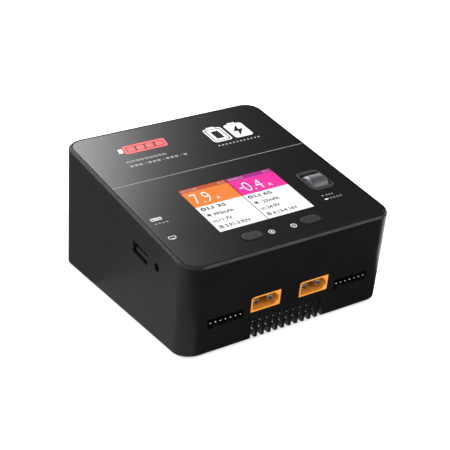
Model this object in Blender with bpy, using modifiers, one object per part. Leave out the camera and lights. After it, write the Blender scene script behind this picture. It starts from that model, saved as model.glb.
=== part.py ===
"""Two-channel balance battery charger: a wedge-shaped desk console.

The console body is modelled in its own tilted frame, in millimetres:
x to the right, y rearward from the front wall, z up from the rim of the top.
The empty console_frame tilts that frame so the underside stands level, and
puts the object's origin at the centre of its footprint, on the table.
"""

import math

import bmesh
import bpy
from mathutils import Matrix, Vector

for old in list(bpy.data.objects):
    bpy.data.objects.remove(old, do_unlink=True)

# ------------------------------------------------------------------ dimensions
MM = 0.001
WIDTH = 106.0  # left wall to right wall
DEPTH = 117.0  # front wall to rear wall, along the top
FRONT_H = 45.3  # height of the front wall
TILT = math.radians(9.63)  # the underside falls away from the top by this
CORNER_R = 8.4  # upright corners
RIM_CHAMFER = 0.9
WALL = 2.2
FOOT_H = 1.2  # how far the feet stand out of the underside
COVER_T = 2.0

PANEL_INSET = 1.75
PANEL_T = 1.0
DECK_TOP = 1.3  # depths below the rim
DECK_BOTTOM = 3.0

LCD_C = (53.0, 40.15)
LCD_WINDOW = (49.7, 37.1)
LCD_OUTLINE = (55.0, 41.3)
LCD_FACE = 1.5
BOARD_T = 1.6
UI_BOARD_TOP = 8.8

BUTTON_C = ((37.9, 11.8), (68.0, 11.8))
BUTTON_SIZE = (10.0, 5.7)
BUTTON_PROUD = 0.5

BEZEL_C = (89.85, 39.2)
BEZEL_SIZE = (13.3, 17.2)
WHEEL_Y = 38.6
WHEEL_AXIS = 4.3  # depth of the wheel's axis below the rim
WHEEL_R = 6.2
WHEEL_X = (85.3, 94.4)
AXLE_R = 0.9

MAIN_SOCKET_X = (40.45, 65.55)
MAIN_SOCKET_S = 27.1
MAIN_SOCKET_SIZE = (15.1, 7.9)
MAIN_PIN_PITCH = 7.2
MAIN_PIN_R = 1.75
BALANCE_X = (20.5, 86.0)
BALANCE_PIN_S = 30.2
BALANCE_PITCH = 2.5
BALANCE_PINS = 7
BALANCE_TOP, BALANCE_FLOOR = 27.7, 31.7
MAIN_BOARD_TOP = 33.3

SLOT_COUNT = 11
SLOT_PITCH = 3.58
SLOT_W = 2.3
SLOT_TOP = 35.5

USB_Y = (33.1, 46.0)
USB_S = (12.0, 17.6)
JACK = (25.1, 13.2)
JACK_R = 1.9

FAN_C = (32.0, 30.0)  # x, depth
FAN_SIDE = 40.0
FAN_Y = (104.5, 114.5)
FAN_HOLE = 16.0
INLET_C = (80.0, 32.0)
POWER_BOARD_TOP = 50.0

SCREW_X = 46.8
SCREW_Y_BODY = (6.2, 109.3)

SIN, COS, TAN = math.sin(TILT), math.cos(TILT), math.tan(TILT)
# most forward point is the foot of the front rim chamfer, most rearward the rear bottom edge
Y_MIN = RIM_CHAMFER * SIN
Y_MAX = DEPTH / COS + FRONT_H * SIN
FRAME_Y = -(Y_MIN + Y_MAX) / 2
FRAME_Z = FRONT_H * COS + FOOT_H


def under(y):
    """z of the sloping underside at y."""
    return -(FRONT_H + y * TAN)


def base_y(y):
    """World y (mm) of the underside point whose body coordinate is y."""
    return y / COS + FRONT_H * SIN + FRAME_Y


# ----------------------------------------------------------------- collections
PARTS = bpy.data.collections.new("balance_charger")
CUTTERS = bpy.data.collections.new("cutters")
for group in (PARTS, CUTTERS):
    bpy.context.scene.collection.children.link(group)

FRAME = bpy.data.objects.new("console_frame", None)
FRAME.rotation_euler = (TILT, 0.0, 0.0)
FRAME.location = (-WIDTH / 2 * MM, FRAME_Y * MM, FRAME_Z * MM)
PARTS.objects.link(FRAME)
BASE = bpy.data.objects.new("table_frame", None)
PARTS.objects.link(BASE)


def material(name, colour, roughness, metallic=0.0, alpha=1.0):
    mat = bpy.data.materials.new(name)
    mat.use_nodes = True
    shader = mat.node_tree.nodes["Principled BSDF"]
    shader.inputs["Base Color"].default_value = (*colour, 1.0)
    shader.inputs["Roughness"].default_value = roughness
    shader.inputs["Metallic"].default_value = metallic
    shader.inputs["Alpha"].default_value = alpha
    mat.diffuse_color = (*colour, alpha)
    return mat


BLACK_ABS = material("black_abs", (0.018, 0.018, 0.019), 0.42)
GLOSS_PANEL = material("gloss_panel", (0.012, 0.012, 0.013), 0.12)
CLEAR = material("clear_window", (0.9, 0.92, 0.95), 0.05, alpha=0.35)
GREY_ABS = material("grey_abs", (0.055, 0.055, 0.058), 0.4)
KEY_RUBBER = material("button_grey", (0.06, 0.06, 0.063), 0.5)
WHEEL_METAL = material("wheel_metal", (0.42, 0.43, 0.45), 0.3, 1.0)
STEEL = material("steel", (0.6, 0.6, 0.6), 0.3, 1.0)
DISPLAY = material("display", (0.9, 0.9, 0.92), 0.3)
WHITE_PLASTIC = material("white_plastic", (0.8, 0.8, 0.78), 0.5)
PCB = material("green_board", (0.02, 0.12, 0.05), 0.5)
AMBER = material("amber_nylon", (0.85, 0.42, 0.06), 0.4)
PIN_METAL = material("plated_pin", (0.75, 0.68, 0.5), 0.25, 1.0)
FERRITE = material("ferrite", (0.05, 0.05, 0.05), 0.7)
WINDING = material("winding_tape", (0.75, 0.55, 0.1), 0.5)
COPPER = material("copper_winding", (0.72, 0.33, 0.16), 0.35, 1.0)
ALUMINIUM = material("aluminium", (0.7, 0.7, 0.72), 0.4, 1.0)
CAN_BLACK = material("capacitor_sleeve", (0.03, 0.03, 0.035), 0.35)
CABLE = material("cable_grey", (0.3, 0.3, 0.32), 0.5)
RUBBER = material("foot_rubber", (0.02, 0.02, 0.02), 0.85)
FAN_BLACK = material("fan_black", (0.02, 0.02, 0.022), 0.5)


# -------------------------------------------------------------------- outlines
def rounded_rect(cx, cy, w, h, r, n=6):
    """Counter-clockwise outline; n steps in each corner."""
    points = []
    for quarter, (sx, sy) in enumerate(((1, 1), (-1, 1), (-1, -1), (1, -1))):
        ox, oy = cx + sx * (w / 2 - r), cy + sy * (h / 2 - r)
        for i in range(n + 1):
            a = math.pi / 2 * (quarter + i / n)
            points.append((ox + r * math.cos(a), oy + r * math.sin(a)))
    return points


def stadium(cx, cy, w, h, n=8):
    """Round-ended outline, long side along the larger of w and h, 2n+2 points."""
    points = []
    r = min(w, h) / 2
    along_x = w >= h
    reach = abs(w - h) / 2
    for end in (0, 1):
        for i in range(n + 1):
            a = math.pi * (i / n - 0.5 + end)
            dx = (reach if end == 0 else -reach) + r * math.cos(a)
            dy = r * math.sin(a)
            points.append((cx + dx, cy + dy) if along_x else (cx - dy, cy + dx))
    return points


def circle(cx, cy, r, n=24, start=0.0):
    return [
        (cx + r * math.cos(start + 2 * math.pi * i / n), cy + r * math.sin(start + 2 * math.pi * i / n))
        for i in range(n)
    ]


def rect(x0, x1, y0, y1):
    return [(x0, y0), (x1, y0), (x1, y1), (x0, y1)]


def chamfered(x0, x1, y0, y1, cuts):
    """Rectangle with corner cuts (lower left, lower right, upper right, upper left)."""
    a, b, c, d = cuts
    points = [(x0, y0)] if not a else [(x0, y0 + a), (x0 + a, y0)]
    points += [(x1, y0)] if not b else [(x1 - b, y0), (x1, y0 + b)]
    points += [(x1, y1)] if not c else [(x1, y1 - c), (x1 - c, y1)]
    points += [(x0, y1)] if not d else [(x0 + d, y1), (x0, y1 - d)]
    return points


# ---------------------------------------------------------------- solid makers
def place(u, v, w, axis):
    """Outline point (u, v) at position w along axis: z takes (x, y), y takes (x, z), x takes (y, z)."""
    return {"z": (u, v, w), "y": (u, w, v), "x": (w, u, v)}[axis]


def add_prism(bm, outline, low, high, axis="z"):
    verts = [bm.verts.new(place(u, v, low, axis)) for u, v in outline]
    face = bm.faces.new(verts)
    made = bmesh.ops.extrude_face_region(bm, geom=[face])["geom"]
    moved = [v for v in made if isinstance(v, bmesh.types.BMVert)]
    bmesh.ops.translate(bm, verts=moved, vec=Vector(place(0, 0, high - low, axis)))
    return bm


def add_box(bm, x0, x1, y0, y1, z0, z1):
    size = Matrix.Diagonal((x1 - x0, y1 - y0, z1 - z0, 1.0))
    move = Matrix.Translation(((x0 + x1) / 2, (y0 + y1) / 2, (z0 + z1) / 2))
    bmesh.ops.create_cube(bm, size=1.0, matrix=move @ size)
    return bm


def add_rod(bm, start, end, r, n=16, r_end=None):
    """Closed cylinder or cone between two points."""
    a, b = Vector(start), Vector(end)
    turn = (b - a).to_track_quat("Z", "Y").to_matrix().to_4x4()
    bmesh.ops.create_cone(
        bm, cap_ends=True, segments=n, radius1=r, radius2=r if r_end is None else r_end,
        depth=(b - a).length, matrix=Matrix.Translation((a + b) / 2) @ turn,
    )
    return bm


def add_loft(bm, rings, closed_loop=False):
    """Skin between rings of equal length; capped, or joined end to start."""
    made = [[bm.verts.new(p) for p in ring] for ring in rings]
    pairs = list(zip(made, made[1:] + made[:1])) if closed_loop else list(zip(made, made[1:]))
    for a, b in pairs:
        for i in range(len(a)):
            j = (i + 1) % len(a)
            bm.faces.new((a[i], a[j], b[j], b[i]))
    if not closed_loop:
        bm.faces.new(made[0][::-1])
        bm.faces.new(made[-1])
    return bm


def turned(bm, stations, axis, cu, cv, n=24, closed_loop=False):
    """Circles of the given radii along an axis: stations are (position, radius)."""
    rings = [[place(u, v, w, axis) for u, v in circle(cu, cv, r, n)] for w, r in stations]
    return add_loft(bm, rings, closed_loop)


def add_object(name, bm, mat=None, origin=(0.0, 0.0, 0.0), parent=FRAME, helper=False, smooth=30.0):
    bmesh.ops.recalc_face_normals(bm, faces=bm.faces)
    bmesh.ops.translate(bm, verts=bm.verts, vec=-Vector(origin))
    bmesh.ops.scale(bm, verts=bm.verts, vec=(MM, MM, MM))
    mesh = bpy.data.meshes.new(name)
    bm.to_mesh(mesh)
    bm.free()
    obj = bpy.data.objects.new(name, mesh)
    obj.parent = parent
    obj.location = Vector(origin) * MM
    if helper:
        CUTTERS.objects.link(obj)
        obj.hide_render = True
        obj.display_type = "WIRE"
    else:
        PARTS.objects.link(obj)
        mesh.materials.append(mat)
        mesh.shade_smooth()
        mesh.set_sharp_from_angle(angle=math.radians(smooth))
    return obj


def boolean(obj, tool, operation="DIFFERENCE"):
    mod = obj.modifiers.new(tool.name, "BOOLEAN")
    mod.operation = operation
    mod.solver = "EXACT"
    mod.object = tool
    return obj


def new():
    return bmesh.new()


# --------------------------------------------------------------- main housing
def outer_outline(inset=0.0, n=7):
    return rounded_rect(WIDTH / 2, DEPTH / 2, WIDTH - 2 * inset, DEPTH - 2 * inset, CORNER_R - inset, n)


slot_centres = [WIDTH / 2 + SLOT_PITCH * (i - (SLOT_COUNT - 1) / 2) for i in range(SLOT_COUNT)]

body_rings = [
    [(x, y, 0.0) for x, y in outer_outline(RIM_CHAMFER)],
    [(x, y, -RIM_CHAMFER) for x, y in outer_outline()],
    [(x, y, under(y)) for x, y in outer_outline()],
]
housing = add_object("main_housing", add_loft(new(), body_rings), BLACK_ABS)
boolean(housing, add_object(
    "cavity", add_prism(new(), outer_outline(WALL, 6), -90.0, -DECK_BOTTOM), helper=True))

# board posts hang from the deck; screw bosses stand upright in the corners of the base
posts = new()
for x, y in ((8.2, 6.2), (79.8, 6.2), (8.2, 64.0), (79.8, 64.0)):
    add_rod(posts, (x, y, -2.5), (x, y, -UI_BOARD_TOP + 0.3), 1.4, 10)
for x, y in ((84.4, 28.6), (99.8, 28.6), (84.4, 50.0), (99.8, 50.0)):
    add_rod(posts, (x, y, -2.5), (x, y, -16.4), 1.4, 10)
boolean(housing, add_object("deck_posts", posts, helper=True), "UNION")

screw_spots = [(sx * SCREW_X, base_y(y)) for y in SCREW_Y_BODY for sx in (-1, 1)]
bosses = new()
boss_holes = new()
for x, y in screw_spots:
    add_rod(bosses, (x, y, 3.5), (x, y, 9.5), 4.3, 16)
    add_rod(boss_holes, (x, y, 0.0), (x, y, 8.6), 1.4, 12)
boolean(housing, add_object("screw_bosses", bosses, parent=BASE, helper=True), "UNION")
boolean(housing, add_object("boss_holes", boss_holes, parent=BASE, helper=True))


def button_outline(c, grow):
    return stadium(c[0], c[1], BUTTON_SIZE[0] + grow, BUTTON_SIZE[1] + grow, 7)


def bezel_outline(grow):
    return rounded_rect(*BEZEL_C, BEZEL_SIZE[0] + grow, BEZEL_SIZE[1] + grow, 3.0 + grow / 2, 5)


# the shallow tray that the top panel sits in
boolean(housing, add_object(
    "panel_tray", add_prism(new(), outer_outline(PANEL_INSET - 0.2, 6), -DECK_TOP, 2.0), helper=True))

deck_holes = new()
add_prism(deck_holes, rect(LCD_C[0] - LCD_OUTLINE[0] / 2 - 0.3, LCD_C[0] + LCD_OUTLINE[0] / 2 + 0.3,
                           LCD_C[1] - LCD_OUTLINE[1] / 2 - 0.3, LCD_C[1] + LCD_OUTLINE[1] / 2 + 0.3), -4.0, -0.5)
for c in BUTTON_C:
    add_prism(deck_holes, button_outline(c, 0.6), -4.0, -0.5)
add_prism(deck_holes, bezel_outline(0.4), -4.0, -0.5)
boolean(housing, add_object("deck_holes", deck_holes, helper=True))


def balance_outline(cx, margin=0.0):
    """Keyed opening of a balance socket in (x, z): a long slot with notches along its lower edge."""
    x0, x1 = cx - 9.1 - margin, cx + 9.1 + margin
    floor, low = -BALANCE_FLOOR, -BALANCE_FLOOR - 0.85
    points = [(x0, -BALANCE_TOP), (x0, low - 0.1), (x0 + 0.3, low - 0.1), (x0 + 0.7, low - 0.45),
              (x0 + 2.2, low - 0.45), (x0 + 2.6, floor)]
    for i in range(2, BALANCE_PINS):
        px = cx + (i - (BALANCE_PINS - 1) / 2) * BALANCE_PITCH
        points += [(px - 0.85, floor), (px - 0.65, low), (px + 0.55, low), (px + 0.75, floor)]
    points += [(x1 - 0.35, floor), (x1, floor + 0.6), (x1, -BALANCE_TOP)]
    return points


front_holes = new()
for x in MAIN_SOCKET_X:
    w, h = MAIN_SOCKET_SIZE[0] / 2 + 0.15, MAIN_SOCKET_SIZE[1] / 2 + 0.15
    add_prism(front_holes, chamfered(x - w, x + w, -MAIN_SOCKET_S - h, -MAIN_SOCKET_S + h, (0, 0.4, 0, 0.8)),
              -3.0, 5.0, "y")
for x in BALANCE_X:
    add_prism(front_holes, balance_outline(x), -3.0, 5.0, "y")
for x in slot_centres:
    low = -62.0
    add_prism(front_holes, [(x - SLOT_W / 2, low), (x + SLOT_W / 2, low)] + [
        (x + SLOT_W / 2 * math.cos(a), -SLOT_TOP - SLOT_W * 0.7 + SLOT_W * 0.7 * math.sin(a))
        for a in [math.pi * i / 6 for i in range(7)]], -3.0, 4.0, "y")
boolean(housing, add_object("front_openings", front_holes, helper=True))

side_holes = new()
add_box(side_holes, -3.0, 4.0, USB_Y[0], USB_Y[1], -USB_S[1], -USB_S[0])
add_rod(side_holes, (-3.0, JACK[0], -JACK[1]), (4.0, JACK[0], -JACK[1]), JACK_R, 20)
boolean(housing, add_object("side_openings", side_holes, helper=True))

rear_holes = new()
for i in range(-4, 5):
    dx = i * 4.0
    half = math.sqrt(18.6 ** 2 - dx ** 2)
    add_prism(rear_holes, stadium(FAN_C[0] + dx, -FAN_C[1], 2.6, 2 * half, 4), 112.0, 120.0, "y")
add_box(rear_holes, INLET_C[0] - 13.6, INLET_C[0] + 13.6, 112.0, 120.0, -INLET_C[1] - 10.1, -INLET_C[1] + 10.1)
fan_screw_spots = [(FAN_C[0] - FAN_HOLE, -FAN_C[1] + FAN_HOLE), (FAN_C[0] + FAN_HOLE, -FAN_C[1] - FAN_HOLE)]
for x, z in fan_screw_spots:
    turned(rear_holes, [(112.0, 1.7), (115.6, 1.7), (115.6, 3.0), (120.0, 3.0)], "y", x, z, 14)
boolean(housing, add_object("rear_openings", rear_holes, helper=True))

# --------------------------------------------------------------- bottom cover
cover_rings = [
    [(x, y, under(y)) for x, y in outer_outline(WALL + 0.3, 6)],
    [(x, y, under(y) + COVER_T / COS) for x, y in outer_outline(WALL + 0.3, 6)],
]
cover = add_object("bottom_cover", add_loft(new(), cover_rings), BLACK_ABS)
cover_posts = new()
for x, y, top in ((15.0, 12.0, 35.2), (91.0, 12.0, 35.2), (15.0, 57.0, 35.2), (91.0, 57.0, 35.2),
                  (10.0, 71.0, 51.9), (96.0, 71.0, 51.9), (10.0, 99.0, 51.9), (96.0, 99.0, 51.9)):
    add_rod(cover_posts, (x, y, under(y) + 0.8), (x, y, -top), 2.2, 10)
boolean(cover, add_object("cover_posts", cover_posts, helper=True), "UNION")
cover_slots = new()
for x in slot_centres:
    add_prism(cover_slots, stadium(x, 5.5, SLOT_W, 19.0, 4), -52.0, -40.0)
for i in range(-4, 5):
    add_prism(cover_slots, stadium(53.0 + i * 7.0, 84.0, 3.0, 24.0, 4), -75.0, -52.0)
boolean(cover, add_object("cover_slots", cover_slots, helper=True))
foot_spots = [(sx * 38.0, y) for y in (-41.0, 47.0) for sx in (-1, 1)]
cover_pockets = new()
for x, y in foot_spots:
    add_rod(cover_pockets, (x, y, -1.0), (x, y, FOOT_H + 0.6), 5.3, 20)
for x, y in screw_spots:
    turned(cover_pockets, [(-1.0, 2.7), (FOOT_H + 1.2, 2.7), (FOOT_H + 1.2, 1.4), (6.0, 1.4)], "z", x, y, 14)
boolean(cover, add_object("cover_pockets", cover_pockets, parent=BASE, helper=True))

for i, (x, y) in enumerate(foot_spots, 1):
    foot = new()
    turned(foot, [(0.0, 4.6), (0.4, 5.0), (FOOT_H + 0.3, 5.0)], "z", x, y, 20)
    add_object(f"rubber_foot_{i}", foot, RUBBER, parent=BASE)
for i, (x, y) in enumerate(screw_spots, 1):
    screw = new()
    turned(screw, [(FOOT_H + 0.1, 2.0), (FOOT_H + 0.4, 2.3), (FOOT_H + 0.9, 2.3), (FOOT_H + 0.9, 1.1), (8.0, 1.1)],
           "z", x, y, 14)
    add_object(f"cover_screw_{i}", screw, STEEL, parent=BASE)

# ------------------------------------------------------------ panel and screen
panel = add_object("top_panel", add_prism(new(), outer_outline(PANEL_INSET), -PANEL_T, 0.0), GLOSS_PANEL)
panel_holes = new()
lx, ly = LCD_C
ww, wh = LCD_WINDOW
add_prism(panel_holes, rect(lx - ww / 2, lx + ww / 2, ly - wh / 2, ly + wh / 2), -2.0, 1.0)
for c in BUTTON_C:
    add_prism(panel_holes, button_outline(c, 0.3), -2.0, 1.0)
add_prism(panel_holes, bezel_outline(0.3), -2.0, 1.0)
boolean(panel, add_object("panel_holes", panel_holes, helper=True))

add_object("display_window", add_box(new(), lx - ww / 2 + 0.1, lx + ww / 2 - 0.1, ly - wh / 2 + 0.1,
                                     ly + wh / 2 - 0.1, -PANEL_T, 0.0), CLEAR)
ow, oh = LCD_OUTLINE
add_object("lcd_cell", add_box(new(), lx - ow / 2, lx + ow / 2, ly - oh / 2, ly + oh / 2, -2.6, -LCD_FACE), DISPLAY)
add_object("lcd_backlight", add_box(new(), lx - ow / 2 + 0.3, lx + ow / 2 - 0.3, ly - oh / 2 + 0.3,
                                    ly + oh / 2 - 0.3, -4.6, -2.9), WHITE_PLASTIC)
add_object("lcd_holder", add_box(new(), lx - ow / 2 + 0.3, lx + ow / 2 - 0.3, ly - oh / 2 + 0.3,
                                 ly + oh / 2 - 0.3, -UI_BOARD_TOP + 0.3, -4.9), BLACK_ABS)
add_object("ui_board", add_box(new(), 6.0, 82.0, 4.0, 66.0, -UI_BOARD_TOP - BOARD_T, -UI_BOARD_TOP), PCB)
add_object("buzzer", add_rod(new(), (60.0, 30.0, -15.2), (60.0, 30.0, -10.7), 4.5, 16), FERRITE)

# --------------------------------------------------------------------- buttons
for i, c in enumerate(BUTTON_C, 1):
    key = new()
    n = 7

    def ring(w, h, z):
        return [(x, y, z) for x, y in stadium(c[0], c[1], w, h, n)]

    w, h = BUTTON_SIZE
    add_loft(key, [
        ring(w - 0.7, h - 0.7, BUTTON_PROUD), ring(w, h, BUTTON_PROUD - 0.35), ring(w, h, -3.3),
        ring(w + 2.2, h + 2.2, -3.3), ring(w + 2.2, h + 2.2, -4.1)])
    button = add_object(f"button_{i}", key, KEY_RUBBER, origin=(c[0], c[1], 0.0))
    boolean(button, add_object(f"button_stem_{i}", add_rod(new(), (c[0], c[1], -6.6), (c[0], c[1], -3.6), 1.5, 12),
                               helper=True), "UNION")
    switch = add_object(f"tact_switch_{i}", add_box(new(), c[0] - 3.1, c[0] + 3.1, c[1] - 3.1, c[1] + 3.1,
                                                    -UI_BOARD_TOP + 0.3, -5.6), STEEL)
    boolean(switch, add_object(f"switch_well_{i}", add_rod(new(), (c[0], c[1], -7.5), (c[0], c[1], -4.0), 1.8, 12),
                               helper=True))

# ----------------------------------------------------------------- jog wheel
bezel = add_object("wheel_bezel", add_prism(new(), bezel_outline(0.0), -2.9, 0.2), GREY_ABS)
bezel_cuts = new()
turned_open = rounded_rect(89.85, 38.55, 10.1, 11.3, 0.8, 3)
add_prism(bezel_cuts, turned_open, -1.25, 2.0)
boolean(bezel, add_object("bezel_mouth", bezel_cuts, helper=True))
boolean(bezel, add_object("bezel_pocket", add_prism(new(), rect(84.55, 95.15, 31.7, 45.5), -5.0, -1.2), helper=True))

wheel_origin = (89.85, WHEEL_Y, -WHEEL_AXIS)
drum = new()
x0, x1 = WHEEL_X
turned(drum, [(x0, 1.05), (x0, 5.3), (x0 + 0.5, 5.75), (x0 + 1.4, WHEEL_R), (x1 - 0.9, WHEEL_R), (x1, 5.7), (x1, 1.05)],
       "x", WHEEL_Y, -WHEEL_AXIS, 36, closed_loop=True)
add_object("jog_wheel", drum, WHEEL_METAL, origin=wheel_origin)
axle = new()
turned(axle, [(82.6, AXLE_R), (96.5, AXLE_R), (96.5, 0.6), (99.4, 0.6)], "x", WHEEL_Y, -WHEEL_AXIS, 12)
add_object("wheel_axle", axle, STEEL, origin=wheel_origin)

cradle = new()
add_prism(cradle, [(83.4, -12.2), (96.3, -12.2), (96.3, -3.35), (95.1, -3.35), (95.1, -11.2),
                   (84.6, -11.2), (84.6, -3.35), (83.4, -3.35)], 33.6, 43.6, "y")
cradle = add_object("wheel_cradle", cradle, WHITE_PLASTIC, origin=wheel_origin)
boolean(cradle, add_object("axle_slots", add_prism(new(), stadium(WHEEL_Y, -3.3, 2.1, 4.1, 6), 82.0, 98.0, "x"),
                           helper=True))
boolean(cradle, add_object("cradle_stem", add_rod(new(), (89.85, WHEEL_Y, -14.0), (89.85, WHEEL_Y, -11.7), 1.5, 12),
                           helper=True), "UNION")
encoder = add_object("wheel_encoder", add_box(new(), 96.7, 101.3, 33.9, 43.3, -10.8, -3.3), GREY_ABS,
                     origin=wheel_origin)
boolean(encoder, add_object("encoder_bore", add_rod(new(), (96.0, WHEEL_Y, -WHEEL_AXIS), (100.0, WHEEL_Y, -WHEEL_AXIS),
                                                    0.75, 12), helper=True))
wheel_switch = add_object("wheel_switch", add_box(new(), 86.75, 92.95, WHEEL_Y - 3.1, WHEEL_Y + 3.1, -16.4, -13.2), STEEL)
boolean(wheel_switch, add_object("wheel_switch_well", add_rod(new(), (89.85, WHEEL_Y, -15.1), (89.85, WHEEL_Y, -12.0),
                                                              1.8, 12), helper=True))
add_object("wheel_board", add_box(new(), 82.6, 101.4, 26.8, 51.8, -18.3, -16.7), PCB)

# ------------------------------------------------------ battery output sockets
for i, cx in enumerate(MAIN_SOCKET_X, 1):
    w, h = MAIN_SOCKET_SIZE[0] / 2, MAIN_SOCKET_SIZE[1] / 2
    z = -MAIN_SOCKET_S
    shell = add_object(f"battery_socket_{i}", add_prism(
        new(), chamfered(cx - w, cx + w, z - h, z + h, (0, 0.4, 0, 0.8)), 0.2, 18.0, "y"), AMBER)
    mouth = add_prism(new(), [(cx - w + 0.8, z - h + 0.8), (cx - 0.75, z - h + 0.8), (cx - 0.75, z - h + 1.15),
                              (cx + 0.05, z - h + 1.15), (cx + 0.05, z - h + 0.8), (cx + w - 3.1, z - h + 0.8),
                              (cx + w - 0.9, z - 1.0), (cx + w - 0.9, z + 1.0), (cx + w - 3.1, z + h - 0.8),
                              (cx - w + 0.8, z + h - 0.8)], -3.0, 10.5, "y")
    boolean(shell, add_object(f"socket_mouth_{i}", mouth, helper=True))
    pin_holes = new()
    for k, side in enumerate((-1, 1)):
        px = cx - 0.4 + side * MAIN_PIN_PITCH / 2
        add_rod(pin_holes, (px, 9.0, z), (px, 22.0, z), MAIN_PIN_R + 0.2, 14)
        pin = new()
        turned(pin, [(1.5, 0.7), (1.75, 1.2), (2.3, 1.6), (3.0, MAIN_PIN_R), (19.5, MAIN_PIN_R)], "y", px, z, 14)
        add_object(f"battery_{i}_{('positive', 'negative')[k]}_pin", pin, PIN_METAL)
    boolean(shell, add_object(f"socket_pin_holes_{i}", pin_holes, helper=True))

# ------------------------------------------------------------ balance sockets
for i, cx in enumerate(BALANCE_X, 1):
    shell = add_object(f"balance_socket_{i}", add_box(new(), cx - 10.3, cx + 10.3, 2.5, 12.0, -33.0, -26.5), BLACK_ABS)
    boolean(shell, add_object(f"balance_mouth_{i}", add_box(new(), cx - 9.1, cx + 9.1, 0.0, 10.0, -BALANCE_FLOOR,
                                                            -BALANCE_TOP), helper=True))
    spots = [cx + (k - (BALANCE_PINS - 1) / 2) * BALANCE_PITCH for k in range(BALANCE_PINS)]
    holes = new()
    for px in spots:
        add_box(holes, px - 0.55, px + 0.55, 9.0, 14.0, -BALANCE_PIN_S - 0.55, -BALANCE_PIN_S + 0.55)
    boolean(shell, add_object(f"balance_pin_holes_{i}", holes, helper=True))
    comb = [(spots[0] - 1.0, 14.4), (spots[0] - 1.0, 13.2)]
    for px in spots:
        comb += [(px - 0.32, 13.2), (px - 0.32, 0.5), (px + 0.32, 0.5), (px + 0.32, 13.2)]
    comb += [(spots[-1] + 1.0, 13.2), (spots[-1] + 1.0, 14.4)]
    add_object(f"balance_pins_{i}", add_prism(new(), comb, -BALANCE_PIN_S - 0.32, -BALANCE_PIN_S + 0.32), PIN_METAL)

# ----------------------------------------------------------- side connectors
usb = add_object("usb_shell", add_box(new(), 2.5, 16.5, USB_Y[0] - 0.5, USB_Y[1] + 0.5, -USB_S[1] - 0.5,
                                      -USB_S[0] + 0.5), STEEL)
boolean(usb, add_object("usb_mouth", add_box(new(), 0.0, 15.9, *USB_Y, -USB_S[1], -USB_S[0]), helper=True))
add_object("usb_tongue", add_box(new(), 1.2, 15.6, USB_Y[0] + 0.9, USB_Y[1] - 0.9, -16.8, -15.0), BLACK_ABS)
jack = add_object("link_jack", add_box(new(), 2.5, 14.5, 21.4, 28.8, -16.3, -10.7), BLACK_ABS)
boolean(jack, add_object("jack_bore", add_rod(new(), (0.0, JACK[0], -JACK[1]), (13.0, JACK[0], -JACK[1]), JACK_R, 20),
                         helper=True))

# ------------------------------------------------------- boards and components
add_object("main_board", add_box(new(), 5.0, 101.0, 4.0, 62.0, -MAIN_BOARD_TOP - BOARD_T, -MAIN_BOARD_TOP), PCB)
add_object("power_board", add_box(new(), 4.0, 102.0, 66.0, 103.5, -POWER_BOARD_TOP - BOARD_T, -POWER_BOARD_TOP), PCB)

fins = [(12.0, -33.0), (76.0, -33.0), (76.0, -20.0)]
for k in range(12, -1, -1):
    left = 12.0 + k * (64.0 - 1.4) / 12
    if k < 12:
        fins += [(left + 1.4, -30.4), (left + 1.4, -20.0)]
    fins += [(left, -20.0)] + ([(left, -30.4)] if k else [])
add_object("heatsink", add_prism(new(), fins, 36.0, 54.0, "y"), ALUMINIUM)

core = add_object("transformer_core", add_box(new(), 45.0, 75.0, 70.0, 91.0, -49.7, -27.7), FERRITE)
windows = new()
for a, b in ((49.0, 56.0), (64.0, 71.0)):
    add_box(windows, a, b, 60.0, 100.0, -45.4, -32.0)
boolean(core, add_object("core_windows", windows, helper=True))
coil = add_object("transformer_coil", add_prism(new(), rounded_rect(60.0, 80.5, 21.4, 28.0, 3.0, 3), -45.0, -32.4), WINDING)
boolean(coil, add_object("coil_window", add_box(new(), 55.6, 64.4, 69.6, 91.4, -50.0, -28.0), helper=True))

can = new()
turned(can, [(10.0, 8.2), (10.8, 9.0), (39.2, 9.0), (40.0, 8.2)], "x", 84.0, -40.7, 20)
add_object("bulk_capacitor", can, CAN_BLACK)

torus = new()
rings = []
for k in range(20):
    a = 2 * math.pi * k / 20
    centre = Vector((88.0 + 7.8 * math.cos(a), 82.0, -38.2 + 7.8 * math.sin(a)))
    out = Vector((math.cos(a), 0.0, math.sin(a)))
    rings.append([tuple(centre + out * 3.4 * math.cos(b) + Vector((0, 3.4 * math.sin(b), 0)))
                  for b in [2 * math.pi * m / 8 for m in range(8)]])
add_object("mains_choke", add_loft(torus, rings, closed_loop=True), COPPER)

for i, cx in enumerate(MAIN_SOCKET_X, 1):
    choke = add_object(f"output_inductor_{i}", add_box(new(), cx - 6.0, cx + 6.0, 21.0, 33.0, -33.0, -24.0), FERRITE)
    soft = choke.modifiers.new("edges", "BEVEL")
    soft.width = 1.0 * MM
    soft.segments = 1

# ribbon cable between the two upper boards: a thin strip that follows a smooth S
route = [(57.0, 10.9), (60.0, 12.2), (62.6, 15.5), (64.2, 20.0), (64.4, 24.5), (63.2, 28.8), (60.6, 31.9), (57.5, 32.8)]
upper, lower = [], []
for k, (y, s) in enumerate(route):
    before, after = route[max(k - 1, 0)], route[min(k + 1, len(route) - 1)]
    run = Vector((after[0] - before[0], after[1] - before[1])).normalized()
    side = Vector((run.y, -run.x)) * 0.25
    upper.append((y + side.x, -(s + side.y)))
    lower.append((y - side.x, -(s - side.y)))
add_object("ribbon_cable", add_prism(new(), upper + lower[::-1], 30.0, 42.0, "x"), CABLE)

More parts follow.
